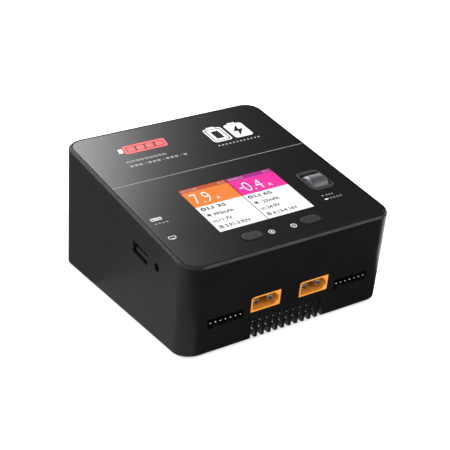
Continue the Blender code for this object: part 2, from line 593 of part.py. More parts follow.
# ------------------------------------------------------------------------ fan
fx, fz = FAN_C[0], -FAN_C[1]
fan = add_object("fan_frame", add_box(new(), fx - FAN_SIDE / 2, fx + FAN_SIDE / 2, *FAN_Y, fz - FAN_SIDE / 2,
                                      fz + FAN_SIDE / 2), FAN_BLACK)
fan_cuts = add_rod(new(), (fx, 100.0, fz), (fx, 120.0, fz), 19.0, 36)
for sx in (-1, 1):
    for sz in (-1, 1):
        add_rod(fan_cuts, (fx + sx * FAN_HOLE, 100.0, fz + sz * FAN_HOLE), (fx + sx * FAN_HOLE, 120.0, fz + sz * FAN_HOLE),
                1.75, 12)
boolean(fan, add_object("fan_bore", fan_cuts, helper=True))
spider = add_object("fan_spider", turned(new(), [(108.5, 1.0), (112.8, 1.0), (112.8, 9.2), (114.3, 9.2)], "y", fx, fz, 24),
                    helper=True)
for k in range(3):
    a = math.radians(90 + 120 * k)
    arm = new()
    add_box(arm, 8.0, 19.8, -0.9, 0.9, -0.75, 0.75)
    bmesh.ops.rotate(arm, verts=arm.verts, matrix=Matrix.Rotation(math.radians(90), 3, "X"))
    bmesh.ops.rotate(arm, verts=arm.verts, matrix=Matrix.Rotation(-a, 3, "Y"))
    bmesh.ops.translate(arm, verts=arm.verts, vec=(fx, 113.5, fz))
    boolean(spider, add_object(f"fan_arm_{k}", arm, helper=True), "UNION")
boolean(fan, spider, "UNION")

fan_origin = (fx, 109.0, fz)
rotor = add_object("fan_rotor", turned(new(), [(105.4, 8.4), (106.0, 9.0), (112.3, 9.0)], "y", fx, fz, 28), FAN_BLACK,
                   origin=fan_origin)
for k in range(7):
    a = 2 * math.pi * k / 7
    blade = new()
    sections = []
    for r, pitch, half in ((8.2, 52.0, 3.4), (13.0, 42.0, 4.0), (17.2, 33.0, 4.4)):
        p = math.radians(pitch)
        along = Vector((0.0, math.sin(p), math.cos(p)))  # radial x, axial y, tangential z
        across = Vector((0.0, math.cos(p), -math.sin(p)))
        lead = r * 0.08
        sections.append([tuple(Vector((r, 0.0, lead)) + along * half * u + across * 0.4 * v)
                         for u, v in ((-1, -1), (1, -1), (1, 1), (-1, 1))])
    add_loft(blade, sections)
    bmesh.ops.rotate(blade, verts=blade.verts, matrix=Matrix.Rotation(a, 3, "Y"))
    bmesh.ops.translate(blade, verts=blade.verts, vec=(fx, 109.0, fz))
    boolean(rotor, add_object(f"fan_blade_{k}", blade, helper=True), "UNION")
boolean(rotor, add_object("rotor_bore", add_rod(new(), (fx, 108.0, fz), (fx, 114.0, fz), 1.3, 14), helper=True))

for i, (x, z) in enumerate(fan_screw_spots, 1):
    screw = new()
    turned(screw, [(105.5, 1.4), (115.9, 1.4), (115.9, 2.6), (116.7, 2.6), (117.0, 2.2)], "y", x, z, 14)
    add_object(f"fan_screw_{i}", screw, STEEL)

wire = bpy.data.curves.new("fan_cable", "CURVE")
wire.dimensions = "3D"
wire.bevel_depth = 0.8 * MM
wire.bevel_resolution = 2
wire.use_fill_caps = True
line = wire.splines.new("POLY")
path = [(16.0, 104.0, -45.6), (16.0, 102.6, -46.0), (16.1, 101.3, -46.9), (16.3, 100.1, -48.0), (16.6, 98.7, -48.7),
        (17.0, 97.0, -48.9)]
line.points.add(len(path) - 1)
for point, spot in zip(line.points, path):
    point.co = (*(Vector(spot) * MM), 1.0)
cable = bpy.data.objects.new("fan_cable", wire)
cable.parent = FRAME
wire.materials.append(CABLE)
PARTS.objects.link(cable)

# ----------------------------------------------------------------- mains inlet
ix, iz = INLET_C[0], -INLET_C[1]
inlet = add_object("mains_inlet", add_box(new(), ix - 13.3, ix + 13.3, 95.0, 118.0, iz - 9.8, iz + 9.8), BLACK_ABS)
boolean(inlet, add_object("inlet_flange", add_prism(new(), rounded_rect(ix, iz, 31.0, 24.0, 2.0, 3), 117.3, 119.0, "y"),
                          helper=True), "UNION")
boolean(inlet, add_object("inlet_mouth", add_prism(
    new(), chamfered(ix - 12.1, ix + 12.1, iz - 8.2, iz + 8.2, (0, 0, 4.0, 4.0)), 103.0, 122.0, "y"), helper=True))
blade_holes = new()
blades = (("line", -7.0, -2.0), ("neutral", 7.0, -2.0), ("earth", 0.0, 2.0))
for label, dx, dz in blades:
    x, z = ix + dx, iz + dz
    add_box(blade_holes, x - 1.3, x + 1.3, 90.0, 104.0, z - 2.3, z + 2.3)
    tip = new()
    add_loft(tip, [[(x + u * a, y, z + v * b) for u, v in ((-1, -1), (1, -1), (1, 1), (-1, 1))]
                   for y, a, b in ((91.0, 1.0, 2.0), (114.6, 1.0, 2.0), (115.6, 0.5, 1.4))])
    add_object(f"inlet_{label}_blade", tip, PIN_METAL)
boolean(inlet, add_object("inlet_blade_holes", blade_holes, helper=True))
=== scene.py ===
"""Two-channel balance battery charger: the looks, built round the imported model.

Shapes are made in millimetres in the console's own tilted frame (x to the
right, y rearward from the front wall, z up from the rim of the top) or in the
table frame, then moved to the shared frame in metres.
"""

import math  # noqa: E402

import bmesh  # noqa: E402
import bpy  # noqa: E402
from mathutils import Matrix, Vector  # noqa: E402


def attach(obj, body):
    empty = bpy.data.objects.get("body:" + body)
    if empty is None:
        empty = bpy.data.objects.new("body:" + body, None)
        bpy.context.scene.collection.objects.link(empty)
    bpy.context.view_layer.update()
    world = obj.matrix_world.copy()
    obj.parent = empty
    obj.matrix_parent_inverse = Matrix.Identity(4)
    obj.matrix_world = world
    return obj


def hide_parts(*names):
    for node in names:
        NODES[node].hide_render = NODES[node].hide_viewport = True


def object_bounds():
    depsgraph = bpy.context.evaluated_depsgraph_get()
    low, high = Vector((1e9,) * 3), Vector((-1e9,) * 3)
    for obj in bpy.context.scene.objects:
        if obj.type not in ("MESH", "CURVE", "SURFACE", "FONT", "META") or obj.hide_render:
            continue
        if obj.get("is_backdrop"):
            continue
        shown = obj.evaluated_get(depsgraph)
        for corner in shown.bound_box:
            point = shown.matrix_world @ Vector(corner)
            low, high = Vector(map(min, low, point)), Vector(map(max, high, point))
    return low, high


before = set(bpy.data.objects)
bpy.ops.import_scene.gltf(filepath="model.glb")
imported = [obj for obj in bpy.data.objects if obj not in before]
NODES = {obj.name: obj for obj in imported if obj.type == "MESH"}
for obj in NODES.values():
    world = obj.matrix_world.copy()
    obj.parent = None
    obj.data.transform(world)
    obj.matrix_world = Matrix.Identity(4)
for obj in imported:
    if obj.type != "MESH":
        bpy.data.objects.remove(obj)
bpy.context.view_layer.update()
SCENE = bpy.context.scene

# ------------------------------------------------------------------ dimensions
MM = 0.001
WIDTH, DEPTH, FRONT_H = 106.0, 117.0, 45.3
TILT = math.radians(9.63)
CORNER_R, RIM_CHAMFER, WALL = 8.4, 0.9, 2.2
FOOT_H, COVER_T = 1.2, 2.0
PANEL_INSET, PANEL_T = 1.75, 1.0
DECK_TOP, DECK_BOTTOM = 1.3, 3.0
LCD_C, LCD_WINDOW, LCD_OUTLINE, LCD_FACE = (53.0, 40.15), (49.7, 37.1), (55.0, 41.3), 1.5
UI_BOARD_TOP, MAIN_BOARD_TOP, BOARD_T = 8.8, 33.3, 1.6
BUTTON_C, BUTTON_SIZE, BUTTON_PROUD = ((37.9, 11.8), (68.0, 11.8)), (10.0, 5.7), 0.5
BEZEL_C, BEZEL_SIZE = (89.9, 38.75), (12.3, 16.3)
WHEEL_Y, WHEEL_AXIS, WHEEL_R, WHEEL_X = 38.6, 4.3, 6.2, (85.3, 94.4)
MAIN_SOCKET_X, MAIN_SOCKET_S, MAIN_SOCKET_SIZE = (40.45, 65.55), 27.1, (15.1, 7.9)
MAIN_PIN_PITCH, MAIN_PIN_R = 7.2, 1.75
BALANCE_X, BALANCE_PIN_S, BALANCE_PITCH, BALANCE_PINS = (20.5, 86.0), 30.2, 2.5, 7
BALANCE_TOP, BALANCE_FLOOR = 27.7, 31.7
SLOT_COUNT, SLOT_PITCH, SLOT_W, SLOT_TOP = 11, 3.58, 2.3, 35.5
USB_Y, USB_S = (33.1, 46.0), (12.0, 17.6)
JACK, JACK_R = (25.1, 13.2), 1.9
FAN_C, FAN_SIDE, FAN_Y, FAN_HOLE = (32.0, 30.0), 40.0, (104.5, 114.5), 16.0
INLET_C = (80.0, 32.0)
SCREW_X, SCREW_Y_BODY = 46.8, (6.2, 109.3)

SIN, COS, TAN = math.sin(TILT), math.cos(TILT), math.tan(TILT)
FRAME_Y = -(RIM_CHAMFER * SIN + DEPTH / COS + FRONT_H * SIN) / 2
FRAME_Z = FRONT_H * COS + FOOT_H
CONSOLE = (
    Matrix.Scale(MM, 4)
    @ Matrix.Translation((-WIDTH / 2, FRAME_Y, FRAME_Z))
    @ Matrix.Rotation(TILT, 4, "X")
)
TABLE = Matrix.Scale(MM, 4)


def under(y):
    return -(FRONT_H + y * TAN)


def base_y(y):
    return y / COS + FRONT_H * SIN + FRAME_Y


# ------------------------------------------------------------------- materials
def begin(name):
    mat = bpy.data.materials.new(name)
    mat.use_nodes = True
    tree = mat.node_tree
    coord = tree.nodes.new("ShaderNodeTexCoord").outputs["Object"]
    return mat, tree, tree.nodes["Principled BSDF"], coord


def noise(tree, coord, scale, detail=3.0, stretch=None):
    if stretch:
        mapping = tree.nodes.new("ShaderNodeMapping")
        mapping.inputs["Scale"].default_value = stretch
        tree.links.new(coord, mapping.inputs["Vector"])
        coord = mapping.outputs["Vector"]
    node = tree.nodes.new("ShaderNodeTexNoise")
    node.inputs["Scale"].default_value = scale
    node.inputs["Detail"].default_value = detail
    tree.links.new(coord, node.inputs["Vector"])
    return node.outputs["Fac"]


def blend_colours(tree, factor, low, high, a=0.3, b=0.7):
    node = tree.nodes.new("ShaderNodeValToRGB")
    node.color_ramp.elements[0].position = a
    node.color_ramp.elements[1].position = b
    node.color_ramp.elements[0].color = (*low, 1.0)
    node.color_ramp.elements[1].color = (*high, 1.0)
    tree.links.new(factor, node.inputs["Fac"])
    return node.outputs["Color"]


def spread(tree, factor, low, high, a=0.3, b=0.7):
    node = tree.nodes.new("ShaderNodeMapRange")
    node.inputs["From Min"].default_value = a
    node.inputs["From Max"].default_value = b
    node.inputs["To Min"].default_value = low
    node.inputs["To Max"].default_value = high
    tree.links.new(factor, node.inputs["Value"])
    return node.outputs["Result"]


def bump(tree, shader, height, strength, distance):
    node = tree.nodes.new("ShaderNodeBump")
    node.inputs["Strength"].default_value = strength
    node.inputs["Distance"].default_value = distance
    tree.links.new(height, node.inputs["Height"])
    tree.links.new(node.outputs["Normal"], shader.inputs["Normal"])


def plastic(name, colour, roughness, vary=0.12, cloud=90.0, grain=5200.0, depth=0.012, strength=0.35,
            metallic=0.0, rough_vary=0.04, ior=1.46, **sockets):
    """Moulded or painted surface: clouded colour, uneven gloss and a fine moulded grain."""
    mat, tree, shader, coord = begin(name)
    wide = noise(tree, coord, cloud, 4.0)
    low = tuple(c * (1 - vary) for c in colour)
    high = tuple(min(c * (1 + vary), 1.0) for c in colour)
    tree.links.new(blend_colours(tree, wide, low, high), shader.inputs["Base Color"])
    patch = noise(tree, coord, cloud * 3.1, 3.0)
    tree.links.new(spread(tree, patch, roughness - rough_vary, roughness + rough_vary), shader.inputs["Roughness"])
    bump(tree, shader, noise(tree, coord, grain, 2.0), strength, depth * MM)
    shader.inputs["Metallic"].default_value = metallic
    shader.inputs["IOR"].default_value = ior
    for key, value in sockets.items():
        shader.inputs[key.replace("_", " ")].default_value = value
    mat.diffuse_color = (*colour, 1.0)
    return mat


def brushed(name, colour, roughness, stretch, lines=1.0, vary=0.18, depth=0.006, strength=0.5):
    """Metal with fine machining lines along the axes whose stretch is small."""
    mat, tree, shader, coord = begin(name)
    streak = noise(tree, coord, lines, 5.0, stretch)
    tree.links.new(
        blend_colours(tree, streak, tuple(c * (1 - vary) for c in colour), tuple(min(c * (1 + vary), 1.0) for c in colour)),
        shader.inputs["Base Color"])
    tree.links.new(spread(tree, streak, roughness - 0.06, roughness + 0.08), shader.inputs["Roughness"])
    bump(tree, shader, streak, strength, depth * MM)
    shader.inputs["Metallic"].default_value = 1.0
    mat.diffuse_color = (*colour, 1.0)
    return mat


def lit(name, colour, strength=1.0, pitch=0.153):
    """Back-lit display area: its colour broken up by the pixel rows and columns."""
    mat, tree, shader, coord = begin(name)
    cells = tree.nodes.new("ShaderNodeTexBrick")
    cells.offset = 0.0
    cells.squash = 1.0
    cells.inputs["Scale"].default_value = 1.0
    cells.inputs["Brick Width"].default_value = pitch * MM
    cells.inputs["Row Height"].default_value = pitch * MM
    cells.inputs["Mortar Size"].default_value = 0.012 * MM
    cells.inputs["Mortar Smooth"].default_value = 0.4
    cells.inputs["Color1"].default_value = (*colour, 1.0)
    cells.inputs["Color2"].default_value = (*(c * 0.985 for c in colour), 1.0)
    cells.inputs["Mortar"].default_value = (*(c * 0.93 for c in colour), 1.0)
    tree.links.new(coord, cells.inputs["Vector"])
    tree.links.new(cells.outputs["Color"], shader.inputs["Emission Color"])
    tree.links.new(blend_colours(tree, noise(tree, coord, 300.0), (0.003, 0.003, 0.003), (0.006, 0.006, 0.006)),
                   shader.inputs["Base Color"])
    shader.inputs["Emission Strength"].default_value = strength
    shader.inputs["Roughness"].default_value = 0.6
    shader.inputs["Specular IOR Level"].default_value = 0.0
    mat.diffuse_color = (*colour, 1.0)
    return mat


def board(name):
    """Solder mask over copper tracks, with paler pads."""
    mat, tree, shader, coord = begin(name)
    tracks = tree.nodes.new("ShaderNodeTexBrick")
    tracks.inputs["Scale"].default_value = 1.0
    tracks.inputs["Brick Width"].default_value = 3.4 * MM
    tracks.inputs["Row Height"].default_value = 1.27 * MM
    tracks.inputs["Mortar Size"].default_value = 0.13 * MM
    tracks.inputs["Color1"].default_value = (0.012, 0.10, 0.035, 1.0)
    tracks.inputs["Color2"].default_value = (0.016, 0.13, 0.045, 1.0)
    tracks.inputs["Mortar"].default_value = (0.02, 0.19, 0.07, 1.0)
    tree.links.new(coord, tracks.inputs["Vector"])
    pads = tree.nodes.new("ShaderNodeTexVoronoi")
    pads.inputs["Scale"].default_value = 330.0
    tree.links.new(coord, pads.inputs["Vector"])
    mask = spread(tree, pads.outputs["Distance"], 1.0, 0.0, 0.12, 0.16)
    mix = tree.nodes.new("ShaderNodeMix")
    mix.data_type = "RGBA"
    mix.inputs[7].default_value = (0.62, 0.60, 0.52, 1.0)
    tree.links.new(mask, mix.inputs[0])
    tree.links.new(tracks.outputs["Color"], mix.inputs[6])
    tree.links.new(mix.outputs[2], shader.inputs["Base Color"])
    tree.links.new(spread(tree, noise(tree, coord, 500.0), 0.3, 0.45), shader.inputs["Roughness"])
    bump(tree, shader, tracks.outputs["Fac"], 0.4, 0.03 * MM)
    return mat


BODY_BLACK = plastic("black_moulded_abs", (0.0068, 0.0068, 0.0070), 0.40, strength=0.25)
COVER_BLACK = plastic("black_cover_abs", (0.0095, 0.0095, 0.0098), 0.48, strength=0.4)
SOCKET_BLACK = plastic("black_socket_nylon", (0.004, 0.004, 0.0042), 0.45)
PANEL_BLACK = plastic("gloss_black_panel", (0.0105, 0.0105, 0.0108), 0.14, vary=0.05, cloud=30.0, grain=400.0,
                      depth=0.0008, strength=0.05, rough_vary=0.012, ior=1.5)
BEZEL_GREY = plastic("bezel_grey_abs", (0.029, 0.029, 0.030), 0.38)
KEY_GREY = plastic("key_grey_silicone", (0.0215, 0.0215, 0.0225), 0.40, grain=7000.0)
AMBER = plastic("amber_glass_nylon", (0.79, 0.290, 0.028), 0.36, vary=0.07, cloud=400.0, ior=1.53)
# darker copy of the amber for the socket's inner faces: painted shade inside the socket mouth
AMBER_PAINTED_SHADE = plastic("amber_nylon_painted_shade", (0.66, 0.255, 0.032), 0.45, vary=0.07, cloud=400.0, ior=1.53)
WHITE_INK = plastic("white_ink", (0.80, 0.80, 0.80), 0.45, vary=0.05, cloud=900.0, grain=9000.0, depth=0.004)
GREY_INK = plastic("grey_ink", (0.27, 0.27, 0.27), 0.45, vary=0.08, cloud=900.0, grain=9000.0, depth=0.004)
PALE_INK = plastic("pale_ink", (0.42, 0.42, 0.42), 0.45, vary=0.08, cloud=900.0, grain=9000.0, depth=0.004)
RED_INK = plastic("red_ink", (0.95, 0.10, 0.10), 0.45, vary=0.05, cloud=900.0, grain=9000.0, depth=0.004)
PIN_METAL = plastic("plated_pin_metal", (0.76, 0.74, 0.70), 0.27, vary=0.06, cloud=900.0, metallic=0.93, depth=0.002)
# near-white, barely metallic copy of the pin metal for the pin tips only: a painted highlight standing in for the glint
# on the tips
PIN_TIP_PAINTED_GLINT = plastic("pin_tip_painted_glint", (0.90, 0.90, 0.88), 0.35, vary=0.06, cloud=900.0, metallic=0.15, depth=0.002)
GOLD = plastic("gold_flash", (0.85, 0.62, 0.25), 0.25, vary=0.08, cloud=700.0, metallic=1.0, depth=0.002)
STEEL = plastic("bright_steel", (0.58, 0.58, 0.59), 0.28, vary=0.08, cloud=500.0, metallic=1.0, depth=0.003)
DARK_STEEL = plastic("blackened_steel", (0.10, 0.10, 0.105), 0.35, vary=0.15, cloud=500.0, metallic=1.0, depth=0.003)
WHEEL_METAL = brushed("machined_wheel", (0.27, 0.28, 0.292), 0.48, (3400.0, 60.0, 60.0))
WHITE_PLASTIC = plastic("white_acetal", (0.74, 0.74, 0.71), 0.42, vary=0.04)
DARK_PLASTIC = plastic("dark_plastic", (0.02, 0.02, 0.021), 0.5)
FERRITE = plastic("ferrite_grey", (0.045, 0.045, 0.047), 0.62, vary=0.25, cloud=500.0, grain=2600.0, depth=0.03)
TAPE = plastic("winding_tape_yellow", (0.72, 0.50, 0.06), 0.36, vary=0.10, cloud=150.0)
COPPER = brushed("enamelled_copper", (0.62, 0.27, 0.12), 0.32, (700.0, 90.0, 700.0), vary=0.35, depth=0.08, strength=0.8)
ALUMINIUM = brushed("extruded_aluminium", (0.70, 0.70, 0.72), 0.38, (60.0, 60.0, 2600.0))
SLEEVE = plastic("capacitor_sleeve_pvc", (0.018, 0.018, 0.024), 0.28, vary=0.2, cloud=120.0)
CABLE_GREY = brushed("ribbon_grey", (0.30, 0.30, 0.32), 0.5, (800.0, 20.0, 20.0), vary=0.25)
CABLE_GREY.node_tree.nodes["Principled BSDF"].inputs["Metallic"].default_value = 0.0
RUBBER = plastic("foot_rubber_black", (0.014, 0.014, 0.014), 0.8, vary=0.2, cloud=300.0, grain=2600.0, depth=0.03)
FAN_BLACK = plastic("fan_black_pbt", (0.014, 0.014, 0.015), 0.45)
PCB = board("solder_mask_green")

MASK_BLACK = plastic("window_edge_black", (0.004, 0.004, 0.004), 0.9, Specular_IOR_Level=0.0)
LCD_EDGE = plastic("lcd_glass_edge", (0.010, 0.010, 0.012), 0.15, vary=0.1, depth=0.001)
SHOW_ORANGE = lit("lit_orange", (1.0, 0.272, 0.060))
SHOW_ORANGE_DARK = lit("lit_orange_dark", (0.60, 0.110, 0.050))
SHOW_MAGENTA = lit("lit_magenta", (1.0, 0.045, 0.400))
SHOW_MAGENTA_DARK = lit("lit_magenta_dark", (0.43, 0.030, 0.270))
SHOW_WHITE = lit("lit_white", (1.0, 1.0, 1.0), 1.12)
SHOW_PALE = lit("lit_pale", (0.60, 0.50, 0.52))
SHOW_DARK = lit("lit_near_black", (0.045, 0.045, 0.048))
SHOW_GREY = lit("lit_grey", (0.085, 0.085, 0.09))


def window_glass():
    mat, tree, shader, coord = begin("display_window_glass")
    smear = noise(tree, coord, 45.0, 4.0)
    tree.links.new(blend_colours(tree, smear, (0.985, 0.99, 0.995), (1.0, 1.0, 1.0)), shader.inputs["Base Color"])
    shader.inputs["Roughness"].default_value = 0.0
    shader.inputs["Transmission Weight"].default_value = 1.0
    shader.inputs["IOR"].default_value = 1.0
    shader.inputs["Coat Weight"].default_value = 0.03
    shader.inputs["Coat Roughness"].default_value = 0.03
    shader.inputs["Coat IOR"].default_value = 1.45
    mat.diffuse_color = (0.9, 0.95, 1.0, 0.3)
    return mat


GLASS = window_glass()


# -------------------------------------------------------------------- outlines
def rounded_rect(cx, cy, w, h, r, n=12):
    points = []
    for quarter, (sx, sy) in enumerate(((1, 1), (-1, 1), (-1, -1), (1, -1))):
        ox, oy = cx + sx * (w / 2 - r), cy + sy * (h / 2 - r)
        for i in range(n + 1):
            a = math.pi / 2 * (quarter + i / n)
            points.append((ox + r * math.cos(a), oy + r * math.sin(a)))
    return points


def stadium(cx, cy, w, h, n=16):
    points = []
    r = min(w, h) / 2
    along_x = w >= h
    reach = abs(w - h) / 2
    for end in (0, 1):
        for i in range(n + 1):
            a = math.pi * (i / n - 0.5 + end)
            dx = (reach if end == 0 else -reach) + r * math.cos(a)
            dy = r * math.sin(a)
            points.append((cx + dx, cy + dy) if along_x else (cx - dy, cy + dx))
    return points


def circle(cx, cy, r, n=48, start=0.0):
    return [(cx + r * math.cos(start + 2 * math.pi * i / n), cy + r * math.sin(start + 2 * math.pi * i / n))
            for i in range(n)]


def rect(x0, x1, y0, y1):
    return [(x0, y0), (x1, y0), (x1, y1), (x0, y1)]


def chamfered(x0, x1, y0, y1, cuts):
    a, b, c, d = cuts
    points = [(x0, y0)] if not a else [(x0, y0 + a), (x0 + a, y0)]
    points += [(x1, y0)] if not b else [(x1 - b, y0), (x1, y0 + b)]
    points += [(x1, y1)] if not c else [(x1, y1 - c), (x1 - c, y1)]
    points += [(x0, y1)] if not d else [(x0 + d, y1), (x0, y1 - d)]
    return points


# ---------------------------------------------------------------- solid makers
def new():
    return bmesh.new()


def place(u, v, w, axis):
    return {"z": (u, v, w), "y": (u, w, v), "x": (w, u, v)}[axis]


def add_prism(bm, outline, low, high, axis="z"):
    verts = [bm.verts.new(place(u, v, low, axis)) for u, v in outline]
    face = bm.faces.new(verts)
    made = bmesh.ops.extrude_face_region(bm, geom=[face])["geom"]
    moved = [v for v in made if isinstance(v, bmesh.types.BMVert)]
    bmesh.ops.translate(bm, verts=moved, vec=Vector(place(0, 0, high - low, axis)))
    return bm


def add_box(bm, x0, x1, y0, y1, z0, z1):
    size = Matrix.Diagonal((x1 - x0, y1 - y0, z1 - z0, 1.0))
    move = Matrix.Translation(((x0 + x1) / 2, (y0 + y1) / 2, (z0 + z1) / 2))
    bmesh.ops.create_cube(bm, size=1.0, matrix=move @ size)
    return bm


def add_rod(bm, start, end, r, n=32, r_end=None):
    a, b = Vector(start), Vector(end)
    turn = (b - a).to_track_quat("Z", "Y").to_matrix().to_4x4()
    bmesh.ops.create_cone(bm, cap_ends=True, segments=n, radius1=r, radius2=r if r_end is None else r_end,
                          depth=(b - a).length, matrix=Matrix.Translation((a + b) / 2) @ turn)
    return bm


def add_loft(bm, rings, closed_loop=False):
    made = [[bm.verts.new(p) for p in ring] for ring in rings]
    pairs = list(zip(made, made[1:] + made[:1])) if closed_loop else list(zip(made, made[1:]))
    for a, b in pairs:
        for i in range(len(a)):
            j = (i + 1) % len(a)
            bm.faces.new((a[i], a[j], b[j], b[i]))
    if not closed_loop:
        bm.faces.new(made[0][::-1])
        bm.faces.new(made[-1])
    return bm


def turned(bm, stations, axis, cu, cv, n=64, closed_loop=False):
    rings = [[place(u, v, w, axis) for u, v in circle(cu, cv, r, n)] for w, r in stations]
    return add_loft(bm, rings, closed_loop)


def round_profile(start, corner, end, steps=4):
    """Points of a smooth corner from start to end, bulging towards corner."""
    points = []
    for i in range(steps + 1):
        t = i / steps
        points.append(tuple((1 - t) ** 2 * s + 2 * t * (1 - t) * c + t * t * e for s, c, e in zip(start, corner, end)))
    return points


def bench(bm):
    bmesh.ops.recalc_face_normals(bm, faces=bm.faces)
    mesh = bpy.data.meshes.new("bench")
    bm.to_mesh(mesh)
    bm.free()
    obj = bpy.data.objects.new("bench", mesh)
    SCENE.collection.objects.link(obj)
    return obj


def combine(bm, tool, operation="DIFFERENCE"):
    """bm cut by, or joined with, tool; both are used up."""
    a, b = bench(bm), bench(tool)
    mod = a.modifiers.new("combine", "BOOLEAN")
    mod.operation, mod.solver, mod.object = operation, "EXACT", b
    mesh = bpy.data.meshes.new_from_object(a.evaluated_get(bpy.context.evaluated_depsgraph_get()))
    out = bmesh.new()
    out.from_mesh(mesh)
    for obj in (a, b):
        data = obj.data
        bpy.data.objects.remove(obj)
        bpy.data.meshes.remove(data)
    bpy.data.meshes.remove(mesh)
    return out


def soften(bm, width, segments=2, angle=40.0, pick=None, clamp=True):
    """Rounds the sharp edges that pick accepts."""
    bmesh.ops.remove_doubles(bm, verts=bm.verts, dist=1e-4)
    bmesh.ops.recalc_face_normals(bm, faces=bm.faces)
    edges = [e for e in bm.edges if len(e.link_faces) == 2 and e.calc_face_angle(0.0) > math.radians(angle)
             and (pick is None or pick(e))]
    if edges:
        bmesh.ops.bevel(bm, geom=edges, offset=width, offset_type="OFFSET", segments=segments, profile=0.5,
                        affect="EDGES", clamp_overlap=clamp)
    return bm


def on_plane(axis, value, tol=1e-3):
    return lambda e: all(abs(v.co[axis] - value) < tol for v in e.verts)


def piece(name, bm, mat, body="console", nodes=(), where=CONSOLE, smooth=35.0, flat=False,
          second=None, second_where=None):
    bmesh.ops.recalc_face_normals(bm, faces=bm.faces)
    if second:
        for face in bm.faces:
            if second_where(face):
                face.material_index = 1
    bm.transform(where)
    mesh = bpy.data.meshes.new(name)
    bm.to_mesh(mesh)
    bm.free()
    mesh.materials.append(mat)
    if second:
        mesh.materials.append(second)
    obj = bpy.data.objects.new(name, mesh)
    SCENE.collection.objects.link(obj)
    if flat:
        mesh.shade_flat()
    else:
        mesh.shade_smooth()
        mesh.set_sharp_from_angle(angle=math.radians(smooth))
        even = obj.modifiers.new("even_normals", "WEIGHTED_NORMAL")
        even.mode = "FACE_AREA"
        even.keep_sharp = True
        even.weight = 80
    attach(obj, body)
    if nodes:
        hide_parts(*nodes)
    return obj


# -------------------------------------------------------------- printed plates
def from_curve(curve):
    obj = bpy.data.objects.new("bench_curve", curve)
    SCENE.collection.objects.link(obj)
    mesh = bpy.data.meshes.new_from_object(obj.evaluated_get(bpy.context.evaluated_depsgraph_get()))
    bm = bmesh.new()
    bm.from_mesh(mesh)
    bmesh.ops.remove_doubles(bm, verts=bm.verts, dist=1e-5)
    bpy.data.meshes.remove(mesh)
    bpy.data.objects.remove(obj)
    return bm


def add_mesh(bm, other):
    mesh = bpy.data.meshes.new("join")
    other.to_mesh(mesh)
    other.free()
    bm.from_mesh(mesh)
    bpy.data.meshes.remove(mesh)
    return bm


def add_plate(bm, loops, z0, z1):
    """Thin plate with the outlines in loops; a loop inside another is a hole."""
    curve = bpy.data.curves.new("plate", "CURVE")
    curve.dimensions = "2D"
    curve.fill_mode = "BOTH"
    curve.extrude = (z1 - z0) / 2
    for loop in loops:
        line = curve.splines.new("POLY")
        line.points.add(len(loop) - 1)
        for point, (x, y) in zip(line.points, loop):
            point.co = (x, y, 0.0, 1.0)
        line.use_cyclic_u = True
    made = from_curve(curve)
    bpy.data.curves.remove(curve)
    bmesh.ops.translate(made, verts=made.verts, vec=(0, 0, (z0 + z1) / 2))
    return add_mesh(bm, made)


def add_text(bm, words, x0, x1, y0, y1, z0, z1, weight=0.0):
    """Numbers and units fitted to a box."""
    curve = bpy.data.curves.new("words", "FONT")
    curve.body = words
    curve.size = 10.0
    curve.extrude = 0.5
    curve.offset = weight
    curve.resolution_u = 4
    made = from_curve(curve)
    bpy.data.curves.remove(curve)
    low = [min(v.co[i] for v in made.verts) for i in range(3)]
    high = [max(v.co[i] for v in made.verts) for i in range(3)]
    box = ((x0, x1), (y0, y1), (z0, z1))
    for v in made.verts:
        for i in range(3):
            v.co[i] = box[i][0] + (v.co[i] - low[i]) / (high[i] - low[i]) * (box[i][1] - box[i][0])
    return add_mesh(bm, made)


def stroke(x0, y0, x1, y1, w):
    """Outline of a straight bar between two points."""
    dx, dy = x1 - x0, y1 - y0
    n = math.hypot(dx, dy)
    nx, ny = -dy / n * w / 2, dx / n * w / 2
    return [(x0 - nx, y0 - ny), (x1 - nx, y1 - ny), (x1 + nx, y1 + ny), (x0 + nx, y0 + ny)]


# --------------------------------------------------------------- main housing
def outer_outline(inset=0.0, n=26):
    return rounded_rect(WIDTH / 2, DEPTH / 2, WIDTH - 2 * inset, DEPTH - 2 * inset, CORNER_R - inset, n)


slot_centres = [WIDTH / 2 + SLOT_PITCH * (i - (SLOT_COUNT - 1) / 2) for i in range(SLOT_COUNT)]
screw_spots = [(sx * SCREW_X, base_y(y)) for y in SCREW_Y_BODY for sx in (-1, 1)]
foot_spots = [(sx * 38.0, y) for y in (-41.0, 47.0) for sx in (-1, 1)]
fan_screw_spots = [(FAN_C[0] - FAN_HOLE, -FAN_C[1] + FAN_HOLE), (FAN_C[0] + FAN_HOLE, -FAN_C[1] - FAN_HOLE)]


def button_outline(c, grow, n=20):
    return stadium(c[0], c[1], BUTTON_SIZE[0] + grow, BUTTON_SIZE[1] + grow, n)


def bezel_outline(grow, n=12):
    return rounded_rect(*BEZEL_C, BEZEL_SIZE[0] + grow, BEZEL_SIZE[1] + grow, 3.0 + grow / 2, n)


def balance_outline(cx):
    x0, x1 = cx - 9.1, cx + 9.1
    floor, low = -BALANCE_FLOOR, -BALANCE_FLOOR - 0.85
    points = [(x0, -BALANCE_TOP), (x0, low - 0.1), (x0 + 0.3, low - 0.1), (x0 + 0.7, low - 0.45),
              (x0 + 2.2, low - 0.45), (x0 + 2.6, floor)]
    for i in range(2, BALANCE_PINS):
        px = cx + (i - (BALANCE_PINS - 1) / 2) * BALANCE_PITCH
        points += [(px - 0.85, floor), (px - 0.65, low), (px + 0.55, low), (px + 0.75, floor)]
    points += [(x1 - 0.35, floor), (x1, floor + 0.6), (x1, -BALANCE_TOP)]
    return points


